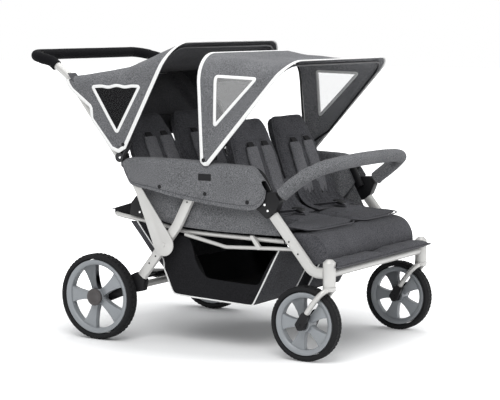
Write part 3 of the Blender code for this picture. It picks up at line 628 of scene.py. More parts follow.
def make_tyre(name, radius, inner, width):
    """A tyre with a rounded shoulder, a flat tread and two rows of blocks."""
    middle = (radius + inner) / 2
    bpy.ops.mesh.primitive_torus_add(major_segments=96, minor_segments=20, major_radius=middle,
                                     minor_radius=TUBE_RADIUS, rotation=(math.pi / 2, 0, 0))
    tyre = named(name)
    only(tyre)
    bpy.ops.object.transform_apply(location=True, rotation=True, scale=True)
    for point in tyre.data.vertices:
        around = math.atan2(point.co.z, point.co.x)
        out = (math.hypot(point.co.x, point.co.z) - middle) / TUBE_RADIUS
        side = point.co.y / TUBE_RADIUS
        square = max(abs(out), abs(side), 1e-6) ** 0.55
        out, side = out / square, side / square
        reach = middle + out * (radius - inner) * 0.5 * 0.88
        point.co = Vector((reach * math.cos(around), side * width * 0.5, reach * math.sin(around)))
    bpy.ops.mesh.primitive_cube_add(size=1, location=(0, 0, 0))
    block = named("tread_block")
    start_edit(block)
    bpy.ops.transform.resize(value=(0.0115, width * 0.30, 0.0044))
    bpy.ops.transform.translate(value=(0, width * 0.180, radius - 0.0023))
    bpy.ops.mesh.bevel(offset=0.0010, segments=1)
    bpy.ops.mesh.spin(steps=TREAD_BLOCKS, dupli=True, angle=math.tau, center=(0, 0, 0), axis=(0, 1, 0))
    end_edit()
    other = twin(block, "tread_block_other")
    other.data.transform(Matrix.Rotation(math.pi / TREAD_BLOCKS, 4, "Y"))
    return joined(name, [tyre, block, other])


# %% Four wheels from two
def put_wheel(piece, name, centre, finish, body, stands_for):
    """Copy a wheel piece to its axle."""
    copy = twin(piece, name, mirror=False)
    copy.data.transform(Matrix.Translation(centre))
    finish_piece(copy, finish, body)
    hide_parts(stands_for)


REAR_RADIUS, REAR_RIM, REAR_WIDTH = 0.150, 0.1290, 0.048
FRONT_RADIUS, FRONT_RIM, FRONT_WIDTH = 0.124, 0.1040, 0.046
REAR_WHEEL_Y, FRONT_WHEEL_Y, FRONT_AXLE_X = 0.370, 0.340, 0.810
CAP_RADIUS, CAP_DEPTH, CAP_Y = 0.0295, 0.0095, 0.39725
patterns = {
    "rear": (make_rim("rear_pattern", REAR_RIM, REAR_WIDTH, 0.044),
             make_tyre("rear_tyre_pattern", REAR_RADIUS, REAR_RIM, REAR_WIDTH)),
    "front": (make_rim("front_pattern", FRONT_RIM, FRONT_WIDTH, 0.050),
              make_tyre("front_tyre_pattern", FRONT_RADIUS, FRONT_RIM, FRONT_WIDTH)),
}
for side, s in SIDES.items():
    for row, centre in (("rear", at(0, s * REAR_WHEEL_Y, REAR_RADIUS)),
                        ("front", at(FRONT_AXLE_X, s * FRONT_WHEEL_Y, FRONT_RADIUS))):
        rim, tyre = patterns[row]
        body = f"{row}_wheel_{side}"
        put_wheel(rim, f"{row}_spoked_rim_{side}", centre, rim_grey, body, f"{row}_rim_{side}")
        put_wheel(tyre, f"{row}_tread_tyre_{side}", centre, tyre_black, body, f"{row}_tyre_{side}")
    cap = crosswise_cylinder(f"hub_cap_{side}", 48, CAP_RADIUS, CAP_DEPTH, at(0, s * CAP_Y, REAR_RADIUS))
    start_edit(cap)
    select_faces(cap, lambda face: face.normal.y * s > SIDEWAYS)
    bpy.ops.mesh.inset(thickness=0.009, depth=0.0012)
    bpy.ops.mesh.inset(thickness=0.002, depth=-0.0015)
    end_edit()
    soften(cap, 0.0010)
    finish_piece(cap, cap_brown, f"rear_wheel_{side}")
    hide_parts(f"rear_hub_cap_{side}")
for pair in patterns.values():
    for pattern in pair:
        bpy.data.objects.remove(pattern)
print("wheels done")

# %% [markdown]
# ## Padded pieces
# Seats, backrests and the foot shelf are cloth over foam. A box with bevelled edges would look hard, so each
# pad is blown up like a real one: its frame solid is copied, remeshed to small even faces and inflated as
# cloth for a moment. The change is capped so that neighbours stay apart. Seams are then pressed in.

# %% Inflating a pad
VOXEL = 0.006
FRAMES = 20
PAD_SHRINK, PAD_SWELL = 0.0040, 0.0065
CORD_RADIUS = 0.0022


def inflate(piece, cap):
    """Let the skin swell like cloth over foam, but no point further than cap."""
    start = [point.co.copy() for point in piece.data.vertices]
    cloth = piece.modifiers.new("swell", "CLOTH")
    cloth.settings.quality = 5
    cloth.settings.use_pressure = True
    cloth.settings.uniform_pressure_force = 4
    cloth.settings.effector_weights.gravity = 0
    cloth.settings.tension_stiffness = 20
    cloth.settings.compression_stiffness = 20
    for step in range(1, FRAMES + 1):
        bpy.context.scene.frame_set(step)
    swollen = piece.evaluated_get(bpy.context.evaluated_depsgraph_get())
    after = [point.co.copy() for point in swollen.data.vertices]
    piece.modifiers.remove(cloth)
    bpy.context.scene.frame_set(1)
    for point, old, new in zip(piece.data.vertices, start, after):
        move = new - old
        if move.length > cap:
            move = move * (cap / move.length)
        point.co = old + move


def padded_copy(name, node, shrink, cap):
    """A soft pad made from one of the frame's plain solids."""
    pad = nodes[node].copy()
    pad.data = nodes[node].data.copy()
    pad.name = name
    pad.parent = None
    pad.modifiers.clear()
    for key in list(pad.keys()):
        del pad[key]
    bpy.context.collection.objects.link(pad)
    start_edit(pad)
    bpy.ops.mesh.remove_doubles(threshold=WELD)
    end_edit()
    skin = pad.modifiers.new("skin", "REMESH")
    skin.mode = "VOXEL"
    skin.voxel_size = VOXEL
    relax = pad.modifiers.new("relax", "SMOOTH")
    relax.factor = 0.5
    relax.iterations = 3
    inward = pad.modifiers.new("inward", "DISPLACE")
    inward.mid_level = 0.0
    inward.strength = -shrink
    apply_modifiers(pad)
    inflate(pad, cap)
    finer = pad.modifiers.new("finer", "SUBSURF")
    finer.levels = 1
    finer.render_levels = 1
    apply_modifiers(pad)
    return pad


def press(pad, rule):
    """Move each point along its normal by rule(point, normal), in metres."""
    normals = [point.normal.copy() for point in pad.data.vertices]
    for point, normal in zip(pad.data.vertices, normals):
        point.co = point.co + normal * rule(point.co, normal)
    pad.data.update()


def groove(distance, width, depth):
    """The dent of a seam at a distance from it."""
    return -depth * math.exp(-(distance / width) ** 2)


def from_segment(a, b, start, end):
    """Distance of the point (a, b) from a straight seam."""
    line = Vector(end) - Vector(start)
    t = max(0.0, min(1.0, (Vector((a, b)) - Vector(start)).dot(line) / line.length_squared))
    return (Vector((a, b)) - Vector(start) - line * t).length


# %% [markdown]
# ### Backrests
# Each backrest leans at its own angle and tapers to a rounded headrest. A seam crosses it under the headrest,
# two more run down and inwards to the hips, and a thin binding tape edges the face.

# %% Backrests
SEAT_CENTRE = 0.1455
HALF_SEAT = 0.1395
BACKS = {
    "front": {"foot": (0.585, 0.447), "lean": 110.0, "tall": 0.356, "taper": 0.88, "slots": 0.256},
    "rear": {"foot": (0.175, 0.492), "lean": 114.0, "tall": 0.325, "taper": 0.80, "slots": 0.235},
}


def on_back(row, across, up, out):
    """A point on a right-hand backrest: across from its middle, up from its foot, out of its face."""
    back = BACKS[row]
    lean = math.radians(back["lean"])
    x = back["foot"][0] + up * math.cos(lean) + out * math.sin(lean)
    z = back["foot"][1] + up * math.sin(lean) - out * math.cos(lean)
    return at(x, across - SEAT_CENTRE, z)


def back_coords(row, point):
    """The reverse of on_back: (across, up, out) of a point."""
    back = BACKS[row]
    lean = math.radians(back["lean"])
    dx = point.x + AXLE_TO_MIDDLE - back["foot"][0]
    dz = point.z - back["foot"][1]
    return (point.y + SEAT_CENTRE, dx * math.cos(lean) + dz * math.sin(lean),
            dx * math.sin(lean) - dz * math.cos(lean))


def back_edge(row):
    """The outline of a backrest's face."""
    wide, tall = HALF_SEAT, BACKS[row]["tall"]
    top = wide * BACKS[row]["taper"]
    half = [(wide, 0.015), (wide, tall * 0.30), (wide, tall * 0.55), ((wide + top * 1.02) / 2, tall * 0.76),
            (top * 0.985, tall * 0.89), (top * 0.87, tall * 0.965), (top * 0.60, tall), (0.0, tall)]
    return half + [(-a, b) for a, b in reversed(half[:-1])]


def back_relief(row):
    """Seams and soft wrinkles of a backrest."""
    back = BACKS[row]

    def rule(point, normal):
        across, up, out = back_coords(row, point)
        face = 1.0 if out > -0.016 else 0.0
        move = groove(up - back["slots"] - 0.012, 0.0035, 0.0028) * face * (1 - ease((abs(across) - 0.07) / 0.03))
        for s in (-1, 1):
            hip = from_segment(across, up, (s * 0.125, 0.150), (s * 0.050, 0.020))
            move += groove(hip, 0.0032, 0.0030) * face
            wing = from_segment(across, up, (s * 0.118, back["slots"] - 0.02), (s * 0.090, 0.10))
            move += groove(wing, 0.003, 0.0014) * face
        soft = noise.noise(point * 16) * 0.0022 + noise.noise(point * 42 + Vector((3, 1, 7))) * 0.0009
        bolster = 0.006 * ease((abs(across) - 0.085) / 0.04) * face * (1 - ease((up - 0.24) / 0.04))
        return move + soft + bolster

    return rule


CROWN_FROM, CROWN_RISE = 0.25, 0.016
for row in BACKS:
    pad = padded_copy(f"{row}_back_pad_right", f"{row}_backrest_right", PAD_SHRINK, PAD_SWELL)
    press(pad, back_relief(row))
    if row == "front":
        up_way = on_back(row, 0, 1, 0) - on_back(row, 0, 0, 0)
        for point in pad.data.vertices:
            point.co += up_way * (CROWN_RISE * ease((back_coords(row, point.co)[1] - CROWN_FROM) / 0.08))
        pad.data.update()
    skin = BVHTree.FromObject(pad, bpy.context.evaluated_depsgraph_get())
    edge_line = []
    for place in line_through([on_back(row, a, b, -0.013) for a, b in back_edge(row)], 4):
        hit, normal = skin.find_nearest(place)[:2]
        edge_line.append(hit + normal * 0.0006)
    tape = pipe(f"{row}_back_tape_right", edge_line, CORD_RADIUS)
    for side in SIDES:
        soft, cord = on_side(pad, side), on_side(tape, side)
        finish_piece(soft, charcoal, f"{row}_back_{side}", 60)
        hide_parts(f"{row}_backrest_{side}")
        finish_piece(cord, grey_tape, f"{row}_back_{side}")
print("backrests done")

# %% [markdown]
# ### Seat pads
# The rear pads are plain cushions. The front ones end in a thin lip that carries the knees, so their front
# part is pressed flat and droops a little.

# %% Seat pads
LIP_START, LIP_BEND, LIP_REACH = 0.712, 0.745, 0.010
LIP_DROOP = 0.9


def seat_relief(row, point, normal):
    """Seams and wrinkles of a seat pad."""
    across = point.y + SEAT_CENTRE
    x = point.x + AXLE_TO_MIDDLE
    top = 1.0 if normal.z > 0.4 else 0.0
    move = noise.noise(point * 17 + Vector((9, 2, 4))) * 0.0024
    for s in (-1, 1):
        move += groove(across - s * 0.105, 0.0035, 0.0026) * top
    if row == "front":
        move += groove(x - LIP_START, 0.0040, 0.0030) * top
        move += noise.noise(Vector((point.x * 20, point.y * 60, 1))) * 0.0022 * ease((0.70 - x) / 0.05) * top
    return move


for row in ("front", "rear"):
    pad = padded_copy(f"{row}_seat_pad_right", f"{row}_seat_right", PAD_SHRINK, PAD_SWELL)
    press(pad, lambda point, normal: seat_relief(row, point, normal))
    if row == "front":
        for point in pad.data.vertices:
            point.co.x += LIP_REACH * ease((point.co.x + AXLE_TO_MIDDLE - LIP_BEND) / 0.05)
            x = point.co.x + AXLE_TO_MIDDLE
            t = ease((x - LIP_START) / 0.028)
            flat = 0.4315 + (point.co.z - 0.4280) * 0.34 - LIP_DROOP * max(0.0, x - LIP_BEND) ** 2
            point.co.z += (flat - point.co.z) * t
        pad.data.update()
    for side in SIDES:
        soft = on_side(pad, side)
        finish_piece(soft, charcoal, "chassis", 60)
        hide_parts(f"{row}_seat_{side}")

# %% [markdown]
# The lip's edge is bound with tape. The gap where the back meets the seat is bridged by pleated cloth.

# %% Lip tape and pleats
lip = [(0.719, -0.310), (0.762, -0.3140), (0.804, -0.3125), (0.822, -0.285), (0.8275, -0.215), (0.8275, -0.075),
       (0.823, -0.040), (0.808, -0.016), (0.762, -0.0075), (0.719, -0.0075)]
lip_line = line_through([at(x, y, 0.4325 - LIP_DROOP * max(0.0, x - LIP_BEND) ** 2) for x, y in lip], 5)
on_both_sides(pipe("seat_lip_tape_right", lip_line, CORD_RADIUS), grey_tape, "chassis")
PLEATS_WIDE = 0.262
PLEATS_DEEP = 0.0046


def pleats(row):
    """Gathered cloth over the bend between back and seat."""
    foot_x = BACKS[row]["foot"][0]
    seat_top = {"front": 0.4530, "rear": 0.4965}[row]
    rise_line = [on_back(row, 0, up, out) for up, out in ((0.118, 0.009), (0.085, 0.0145), (0.045, 0.0170))]
    rise_line += [at(foot_x + ahead, -SEAT_CENTRE, seat_top + up) for ahead, up in
                  ((0.022, 0.016), (0.050, 0.004), (0.075, 0.001))]
    rise_line = line_through(rise_line, 6)

    def rule(u, v):
        across = (u - 0.5) * PLEATS_WIDE
        base = spot(rise_line, v)
        fold = math.sin(u * 62 + 2.2 * math.sin(v * 3 + u * 5)) + 0.5 * math.sin(u * 107 + 5 * math.sin(u * 9))
        fold *= PLEATS_DEEP * math.sin(math.pi * v) ** 0.6
        return base + Vector((fold * 0.6, across, fold * 0.8))

    sheet = laid_sheet(f"{row}_pleats_right", 150, 18, rule)
    area = flat_area(sheet)
    thicken(sheet, 0.002)
    return sheet, area, run_length(rise_line)


for row in BACKS:
    made, pleat_area, tall = pleats(row)
    for side in SIDES:
        gather = on_side(made, side)
        finish_piece(gather, charcoal, None, 70)
        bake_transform(gather)
        rounded_up(tall)

# %% [markdown]
# ### Harness
# Every seat has a five-point harness: two shoulder straps that come out of slots and run under soft pads,
# two waist straps and a crotch strap that meet in a buckle. Webbing stays crisp, so it is modelled directly.

# %% Harness
STRAP_APART = 0.047


def shoulder_pad(row, name, across, drift):
    """A soft sleeve round one shoulder strap."""
    top, bottom = BACKS[row]["slots"] - 0.014, 0.050

    def rule(u, v, w):
        up = bottom + (top - bottom) * v
        a, b = (u - 0.5) * 2, (w - 0.5) * 2
        slim = (1 - abs(2 * v - 1) ** 9) ** 0.5 * 0.12 + 0.88
        edge = (1 - abs(a) ** 3.2) ** 0.45 if abs(a) < 1 else 0.0
        end = (1 - abs(2 * v - 1) ** 8) ** 0.4 if 0 < v < 1 else 0.0
        out = 0.0150 + b * 0.0062 * (0.35 + 0.65 * edge * end) - 0.004 * a * a
        out += 0.001 * math.sin(v * 19 + across * 90)
        return on_back(row, across + drift * (1 - v) + a * 0.0355 * slim, up, out)

    return laid_block(name, 9, rule)


def seat_harness(row):
    """Slots, straps, pads and buckle of one right-hand seat, as (piece, finish, part)."""
    made = []
    slots = BACKS[row]["slots"]
    foot_x = BACKS[row]["foot"][0]
    buckle_x = foot_x + 0.086
    seat_top = {"front": 0.456, "rear": 0.499}[row]

    def on_seat(x, across, up):
        return at(x, across - SEAT_CENTRE, seat_top + up)

    for k, s in enumerate((-1, 1)):
        across = s * STRAP_APART
        made.append((shoulder_pad(row, f"{row}_shoulder_pad_{k}", across, 0.006 * s), pad_grey, "back"))
        path = [on_back(row, across + a, up, out) for a, up, out in
                ((0, slots + 0.010, -0.004), (0, slots + 0.002, 0.009), (-0.004, slots - 0.03, 0.0150),
                 (0, 0.12, 0.0150), (0, 0.045, 0.0160))]
        made.append((flat_strap(f"{row}_shoulder_strap_{k}", line_through(path, 6), (0, 1, 0), 0.036, 0.0022),
                     webbing, "back"))
        slot = [on_back(row, across + a, slots + b, 0.0075 - 0.06 * abs(a)) for a, b in
                ((-0.026, 0.001), (-0.013, 0.006), (0.0, 0.007), (0.013, 0.006), (0.026, 0.001), (0.0, -0.001))]
        made.append((pipe(f"{row}_slot_{k}", line_through(slot, 4, True), CORD_RADIUS, True), grey_tape, "back"))
    crotch = [on_seat(buckle_x + x, 0, up) for x, up in ((0.034, -0.004), (0.026, 0.008), (0.008, 0.013))]
    made.append((flat_strap(f"{row}_crotch_strap", line_through(crotch, 6), (0, 1, 0), 0.030, 0.0022, 10),
                 charcoal, "seat"))
    for k, s in enumerate((-1, 1)):
        waist = [on_seat(foot_x + 0.034, s * 0.098, 0.010), on_seat(foot_x + 0.058, s * 0.060, 0.012),
                 on_seat(buckle_x - 0.006, s * 0.016, 0.013)]
        made.append((flat_strap(f"{row}_waist_strap_{k}", line_through(waist, 6), (0.8, 0, 0.5), 0.020, 0.0020, 14),
                     charcoal, "seat"))

    def buckle_rule(u, v, w):
        a, b, c = (u - 0.5) * 2, (v - 0.5) * 2, (w - 0.5) * 2
        size = max(abs(a), abs(b), abs(c), 1e-6)
        length = (abs(a) ** 4 + abs(b) ** 4 + abs(c) ** 4) ** 0.25
        a, b, c = (k * size / length for k in (a, b, c))
        return on_seat(buckle_x + a * 0.021, b * 0.019, 0.0140 + c * 0.0065 - a * 0.004)

    made.append((laid_block(f"{row}_buckle", 7, buckle_rule), black_plastic, "seat"))
    return made


for row in BACKS:
    for piece, finish, part in seat_harness(row):
        for side in SIDES:
            this = piece if side == "right" else twin(piece, piece.name)
            body = f"{row}_back_{side}" if part == "back" else "chassis"
            base = this.name.split(".")[0]
            this.name = f"{base}_{side}"
            finish_piece(this, finish, body, 60)
            "shoulder_pad" in base
print("harness done")

# %% [markdown]
# ## Canopies
# A canopy is one sheet stretched between two U-shaped edges, like a fan with its hinge at the hub. Between the
# edges the top sags into a saddle, because cloth can't hold a ridge with nothing under it. The sheet is laid
# out by a rule of two numbers, u from the right hub over the top to the left hub and v from back to front.

# %% The shape of a canopy
REAR_CANOPY = {
    "hub": (0.0852, 0.6239), "sag": 0.035, "tip": 0.052, "round": 0.012, "notch": 0.024, "shoulder": 0.72,
    "slack": [(0, 0), (0.22, 0.46), (0.40, 0.80), (0.553, 1.0), (0.717, 0.72), (0.88, 0.32), (1, 0)],
    "back": {"angle": 130.8, "reach": 0.3724, "half": 0.320, "corner": 0.038, "side": 0.3612},
    "front": {"angle": 60.7, "reach": 0.468, "half": 0.277, "corner": 0.095, "side": 0.3612},
}
FRONT_CANOPY = {
    "hub": (0.4187, 0.5958), "sag": 0.017, "tip": 0.040, "round": 0.006, "notch": 0.0, "shoulder": 1.0,
    "slack": [(0, 0), (0.25, 0.75), (0.5, 1.0), (0.75, 0.75), (1, 0)],
    "back": {"angle": 94.4, "reach": 0.402, "half": 0.240, "corner": 0.107, "side": 0.3600},
    "front": {"angle": 47.8, "reach": 0.512, "half": 0.287, "corner": 0.075, "side": 0.3600},
}
NOTCH_FROM, NOTCH_DEEPEST, NOTCH_TO = 0.185, 0.219, 0.314


def edge_point(edge, tip, t):
    """(distance from the hub, half width) at t, from 0 at the hub to 1 at the top's middle."""
    shoulder = edge["reach"] - edge["corner"]
    outer = edge["half"] + edge["corner"]
    if t < 0.46:
        k = t / 0.46
        return tip + (shoulder - tip) * k, edge["side"] + (outer - edge["side"]) * k
    if t < 0.64:
        a = (t - 0.46) / 0.18 * math.pi / 2
        return shoulder + edge["corner"] * math.sin(a), edge["half"] + edge["corner"] * math.cos(a)
    return edge["reach"], edge["half"] * (1 - (t - 0.64) / 0.36)


def slack_at(canopy, v):
    """How far the cloth hangs in at v, as a share of its sag."""
    stops = canopy["slack"]
    for (a, low), (b, high) in zip(stops, stops[1:]):
        if v <= b:
            t = (v - a) / (b - a)
            return low + (high - low) * (0.7 * t + 0.3 * ease(t))
    return 0.0


def notch_at(canopy, reach):
    """How far the rear edge is pulled forward where it isn't tied to the handle."""
    rising = (reach - NOTCH_FROM) / (NOTCH_DEEPEST - NOTCH_FROM)
    falling = (NOTCH_TO - reach) / (NOTCH_TO - NOTCH_DEEPEST)
    return canopy["notch"] * max(0.0, min(1.0, rising, falling))


def canopy_rule(canopy):
    """Where the point (u, v) of a canopy lies."""
    hub_x, hub_z = canopy["hub"]

    def rule(u, v):
        side = -1 if u < 0.5 else 1
        t = 1 - abs(2 * u - 1)
        ends = []
        for edge in (canopy["back"], canopy["front"]):
            reach, half = edge_point(edge, canopy["tip"], t)
            a = math.radians(edge["angle"])
            pull = notch_at(canopy, reach) if edge is canopy["back"] else 0.0
            ends.append(Vector((hub_x + reach * math.cos(a) + pull * math.sin(a), half,
                                hub_z + reach * math.sin(a) - pull * math.cos(a))))
        point = ends[0].lerp(ends[1], v)
        inward = Vector((hub_x - point.x, 0, hub_z - point.z)).normalized()
        hold = canopy["shoulder"]
        share = hold * ease((t - 0.20) / 0.28) + (1 - hold) * ease((t - 0.52) / 0.30)
        hang = canopy["sag"] * slack_at(canopy, v) * share
        tip = canopy["round"] * math.sin(math.pi * v) * max(0.0, 1 - t / 0.10) ** 2
        point = point + inward * (hang + tip)
        top = ease((t - 0.40) / 0.15)
        taut = 4 * v * (1 - v)
        where = Vector((point.x * 5, point.y * 3, 2.0))
        point = point - inward * (noise.noise(where) * 0.006 * top * taut)
        point.z += math.sin((v * 3.2 + t * 5.0) * math.pi) * 0.0018 * top * taut
        point.y += 0.003 * math.sin(v * math.pi) * (1 - top) * math.sin(t * 6.5)
        return at(point.x, side * point.y, point.z)

    return rule


# %% [markdown]
# The tape is real folded binding: a flat profile that wraps the raw edge and is 13 mm wide on both faces. To
# lay it, each station needs the cloth's normal and the direction into the cloth; their cross products follow
# from the tangent of the edge.

# %% Binding tape
FOLDED = [(-0.0012, 0.0), (-0.0007, 0.0013), (0.0015, 0.0020), (0.0112, 0.0022), (0.0122, 0.0014), (0.0122, 0.0),
          (0.0045, -0.0014), (0.0035, -0.0019), (0.0015, -0.0018), (-0.0007, -0.0012)]
FLAT = [(-0.0056, 0.0), (-0.0050, 0.0019), (-0.0030, 0.0025), (0.0030, 0.0025), (0.0050, 0.0019), (0.0056, 0.0),
        (0.0050, -0.0019), (0.0030, -0.0025), (-0.0030, -0.0025), (-0.0050, -0.0019)]


def band(name, stations, profile):
    """A closed tape with the given profile along closed stations of (point, normal)."""
    count, ring = len(stations), len(profile)
    middle = sum((point for point, _ in stations), Vector()) / count
    frames = []
    for i, (point, normal) in enumerate(stations):
        tangent = (stations[(i + 1) % count][0] - stations[i - 1][0]).normalized()
        inward = normal.cross(tangent).normalized()
        outward = normal if normal.dot(point - Vector((middle.x, 0, middle.z - 0.1))) > 0 else -normal
        frames.append((point, outward, inward))

    def rule(u, v):
        point, normal, inward = frames[round(u * count) % count]
        wide, high = profile[round(v * ring) % ring]
        return point + inward * wide + normal * high

    tape = laid_sheet(name, count, ring, rule)
    start_edit(tape)
    bpy.ops.mesh.remove_doubles(threshold=WELD)
    bpy.ops.mesh.normals_make_consistent(inside=False)
    end_edit()
    return tape


def edge_stations(rule, per_side=90, across=14):
    """Stations round the whole sheet."""
    loop = [(i / (2 * per_side), 0.0) for i in range(2 * per_side)]
    loop += [(1.0, i / across) for i in range(across)]
    loop += [(1 - i / (2 * per_side), 1.0) for i in range(2 * per_side)]
    loop += [(0.0, 1 - i / across) for i in range(across)]
    normals = []
    for u, v in loop:
        a, b = min(u, 0.994), min(v, 0.98)
        here = rule(a, b)
        normals.append((rule(a + 0.006, b) - here).cross(rule(a, b + 0.02) - here).normalized())
    count = len(loop)
    soft = [sum((normals[(i + k) % count] for k in (-2, -1, 0, 1, 2)), Vector()).normalized()
            for i in range(count)]
    return [(rule(u, v), normal) for (u, v), normal in zip(loop, soft)]


# %% [markdown]
# The windows are cut with three straight bisects each, and the faces inside them become the netting. A ray
# sent in from the side finds where the window's tape touches the sheet.

# %% Windows
def inside(x, z, corners):
    """True if (x, z) lies in the triangle."""
    signs = []
    for (ax, az), (bx, bz) in zip(corners, corners[1:] + corners[:1]):
        signs.append((bx - ax) * (z - az) - (bz - az) * (x - ax) > 0)
    return all(signs) or not any(signs)


def cut_window(cloth, name, corners, side):
    """Cut a triangle out of one side of the cloth and return it as its own sheet."""
    low_x, high_x = min(c[0] for c in corners) - 0.03, max(c[0] for c in corners) + 0.03
    low_z, high_z = min(c[1] for c in corners) - 0.03, max(c[1] for c in corners) + 0.03

    def near(face):
        centre = face.calc_center_median()
        x = centre.x + AXLE_TO_MIDDLE
        return centre.y * side > 0.27 and low_x < x < high_x and low_z < centre.z < high_z

    start_edit(cloth)
    bpy.ops.mesh.select_mode(type="FACE")
    for (ax, az), (bx, bz) in zip(corners, corners[1:] + corners[:1]):
        select_faces(cloth, near)
        across = Vector((bz - az, 0, ax - bx)).normalized()
        bpy.ops.mesh.bisect(plane_co=at(ax, 0, az), plane_no=across)
    select_faces(cloth, lambda face: near(face) and inside(face.calc_center_median().x + AXLE_TO_MIDDLE,
                                                           face.calc_center_median().z, corners))
    bpy.ops.mesh.separate(type="SELECTED")
    end_edit()
    net = [o for o in bpy.context.selected_objects if o != cloth][0]
    net.name = name
    return net


def window_stations(tree, corners, side, wave, round_off=0.010):
    """Stations round a rounded triangle on the cloth; its first edge may be a little wavy."""
    line = []
    count = len(corners)
    for i, corner in enumerate(corners):
        corner = Vector(corner)
        before = Vector(corners[i - 1]) - corner
        after = Vector(corners[(i + 1) % count]) - corner
        a = corner + before.normalized() * round_off
        b = corner + after.normalized() * round_off
        for k in range(7):
            t = k / 6
            line.append(a * (1 - t) ** 2 + corner * 2 * t * (1 - t) + b * t ** 2)
        for k in range(1, 24):
            place = corner + after * (round_off / after.length + (1 - 2 * round_off / after.length) * k / 24)
            if i == 0:
                place.y += wave * math.sin(k / 24 * math.pi) * math.sin(k / 24 * 15)
            line.append(place)
    stations = []
    for x, z in line:
        hit, normal = tree.ray_cast(at(x, side * 0.6, z), Vector((0, -side, 0)))[:2]
        if normal.y * side < 0:
            normal = -normal
        stations.append((hit, normal))
    return stations


def line_inside(cloth, hub_x, hub_z, lining):
    """Give the inner faces of a canopy the lining's finish."""
    cloth.data.materials.append(lining)
    for face in cloth.data.polygons:
        inwards = Vector((hub_x - AXLE_TO_MIDDLE, face.center.y * 0.5, hub_z)) - face.center
        face.material_index = 1 if face.normal.dot(inwards) > 0 else 0


def make_canopy(name, canopy, net_finish, corners, wave, node):
    """One canopy with its windows, netting and tape."""
    rule = canopy_rule(canopy)
    hub_x, hub_z = canopy["hub"]
    cloth = laid_sheet(name, 180, 40, rule)
    tree = BVHTree.FromObject(cloth, bpy.context.evaluated_depsgraph_get())
    made = [(cloth, melange_grey, 0.0024)]
    tapes = [band(f"{name}_edge_tape", edge_stations(rule), FOLDED)]
    for side, s in SIDES.items():
        net = cut_window(cloth, f"{name}_net_{side}", corners, s)
        made.append((net, net_finish, 0.0008))
        tapes.append(band(f"{name}_window_tape_{side}", window_stations(tree, corners, s, wave), FLAT))
    net_area = flat_area(made[1][0])
    made += [(tape, white_tape, 0.0) for tape in tapes]
    for piece, finish, wall in made:
        if wall:
            thicken(piece, wall)
        finish_piece(piece, finish, None, 60)
        # The rear canopy's inner faces get the dark lining. The front canopy's inner faces get the lining with
        # painted light.
        if piece is cloth:
            line_inside(cloth, hub_x, hub_z, lining_dark if node.startswith("rear") else front_lining_painted_light)
        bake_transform(piece)
    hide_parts(node)
    length = max(run_length([rule(u / 80, v / 4) for u in range(81)]) for v in range(5))
    wide = max(run_length([rule(u / 40, v / 20) for v in range(21)]) for u in range(41))
    for net, _, _ in made[1:3]:
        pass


make_canopy("rear_canopy", REAR_CANOPY, black_net,
            [(-0.0262, 0.8783), (0.1763, 0.8834), (0.0777, 0.7222)], 0.0030, "rear_canopy_cover")
make_canopy("front_canopy", FRONT_CANOPY, pale_net,
            [(0.4664, 0.9209), (0.6294, 0.9157), (0.4707, 0.7570)], 0.0, "front_canopy_cover")

# %% [markdown]
# Behind the rear seats a dark curtain hangs from the canopy's rear edge, between the handle's tubes. It is
# loose at its foot, so its folds grow downwards.

# %% Curtain and hinge arms
CURTAIN_LEAN = math.radians(REAR_CANOPY["back"]["angle"])


def on_curtain(reach, y, out):
    """A point of the curtain: its distance from the hubs, its y, and how far it lies out of their plane."""
    hub_x, hub_z = REAR_CANOPY["hub"]
    return at(hub_x + reach * math.cos(CURTAIN_LEAN) + out * math.sin(CURTAIN_LEAN), y,
              hub_z + reach * math.sin(CURTAIN_LEAN) - out * math.cos(CURTAIN_LEAN))


def fold_wave(across):
    """The wave of the curtain's folds."""
    return math.sin(across * 9 + 1.5 * math.sin(across * 4))


def curtain_rule(u, v):
    """The curtain from its loose foot up to the canopy's rear edge."""
    across = (u - 0.5) * 2
    reach = 0.180 + 0.190 * v + 0.010 * abs(across) ** 3 * (1 - v)
    loose = (1 - v) ** 0.7
    fold = 0.0050 * fold_wave(across) * loose
    fold += noise.noise(Vector((across * 3, v * 2, 8))) * 0.006 * loose
    wide = abs(across) * 0.3575
    fold = fold * (1 - ease((wide - 0.26) / 0.03)) + 0.027 * ease((wide - 0.285) / 0.028)
    return on_curtain(reach, wide if across >= 0 else -wide, fold)


curtain = cloth_piece("rear_curtain", (120, 40), curtain_rule, 0.0020, lining_dark,
                      body="handle", node="rear_canopy_cover")


def foot_rule(side):
    """The curtain's lower half on one side, down behind the seat back."""

    def rule(u, v):
        across = side * u
        wide = u * 0.345
        fold = 0.0045 * fold_wave(across) + noise.noise(Vector((across * 3, v - 1, 8))) * 0.005
        fold = (fold - 0.004) * (1 - ease((wide - 0.26) / 0.03)) + 0.020 * ease((wide - 0.285) / 0.028)
        return on_curtain(0.095 + 0.092 * v + 0.010 * u ** 3, side * wide, fold)

    return rule


for side, s in SIDES.items():
    foot = cloth_piece(f"rear_curtain_foot_{side}", (60, 20), foot_rule(s), 0.0018, lining_dark,
                       body="handle")
    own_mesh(foot)


def arm_rule(foot, head, y_in, y_out):
    """A flat moulded arm, wider at its foot."""
    along = Vector(head) - Vector(foot)
    across = Vector((-along.y, along.x)).normalized()

    def rule(u, v, w):
        a, b = (u - 0.5) * 2, (w - 0.5) * 2
        wide = (0.0130 - 0.0050 * v) * (1 - 0.5 * abs(2 * v - 1) ** 6)
        place = Vector(foot) + along * v + across * (a * wide)
        return at(place.x, -(y_in + (y_out - y_in) * (b + 1) / 2), place.y)

    return rule


arm = laid_block("rear_canopy_arm_right", 6, arm_rule((0.080, 0.634), (0.131, 0.690), 0.3494, 0.3548))
soften(arm, 0.0010)
on_both_sides(arm, black_plastic, "rear_bow")
print("canopies done")

# %% [markdown]
# ## Side panels
# Each side has a cloth wall below the armrest and a flap that is folded over the armrest rail, hangs down on
# the outside and lines the seat on the inside. The flap is one sheet that is laid out across its fold.

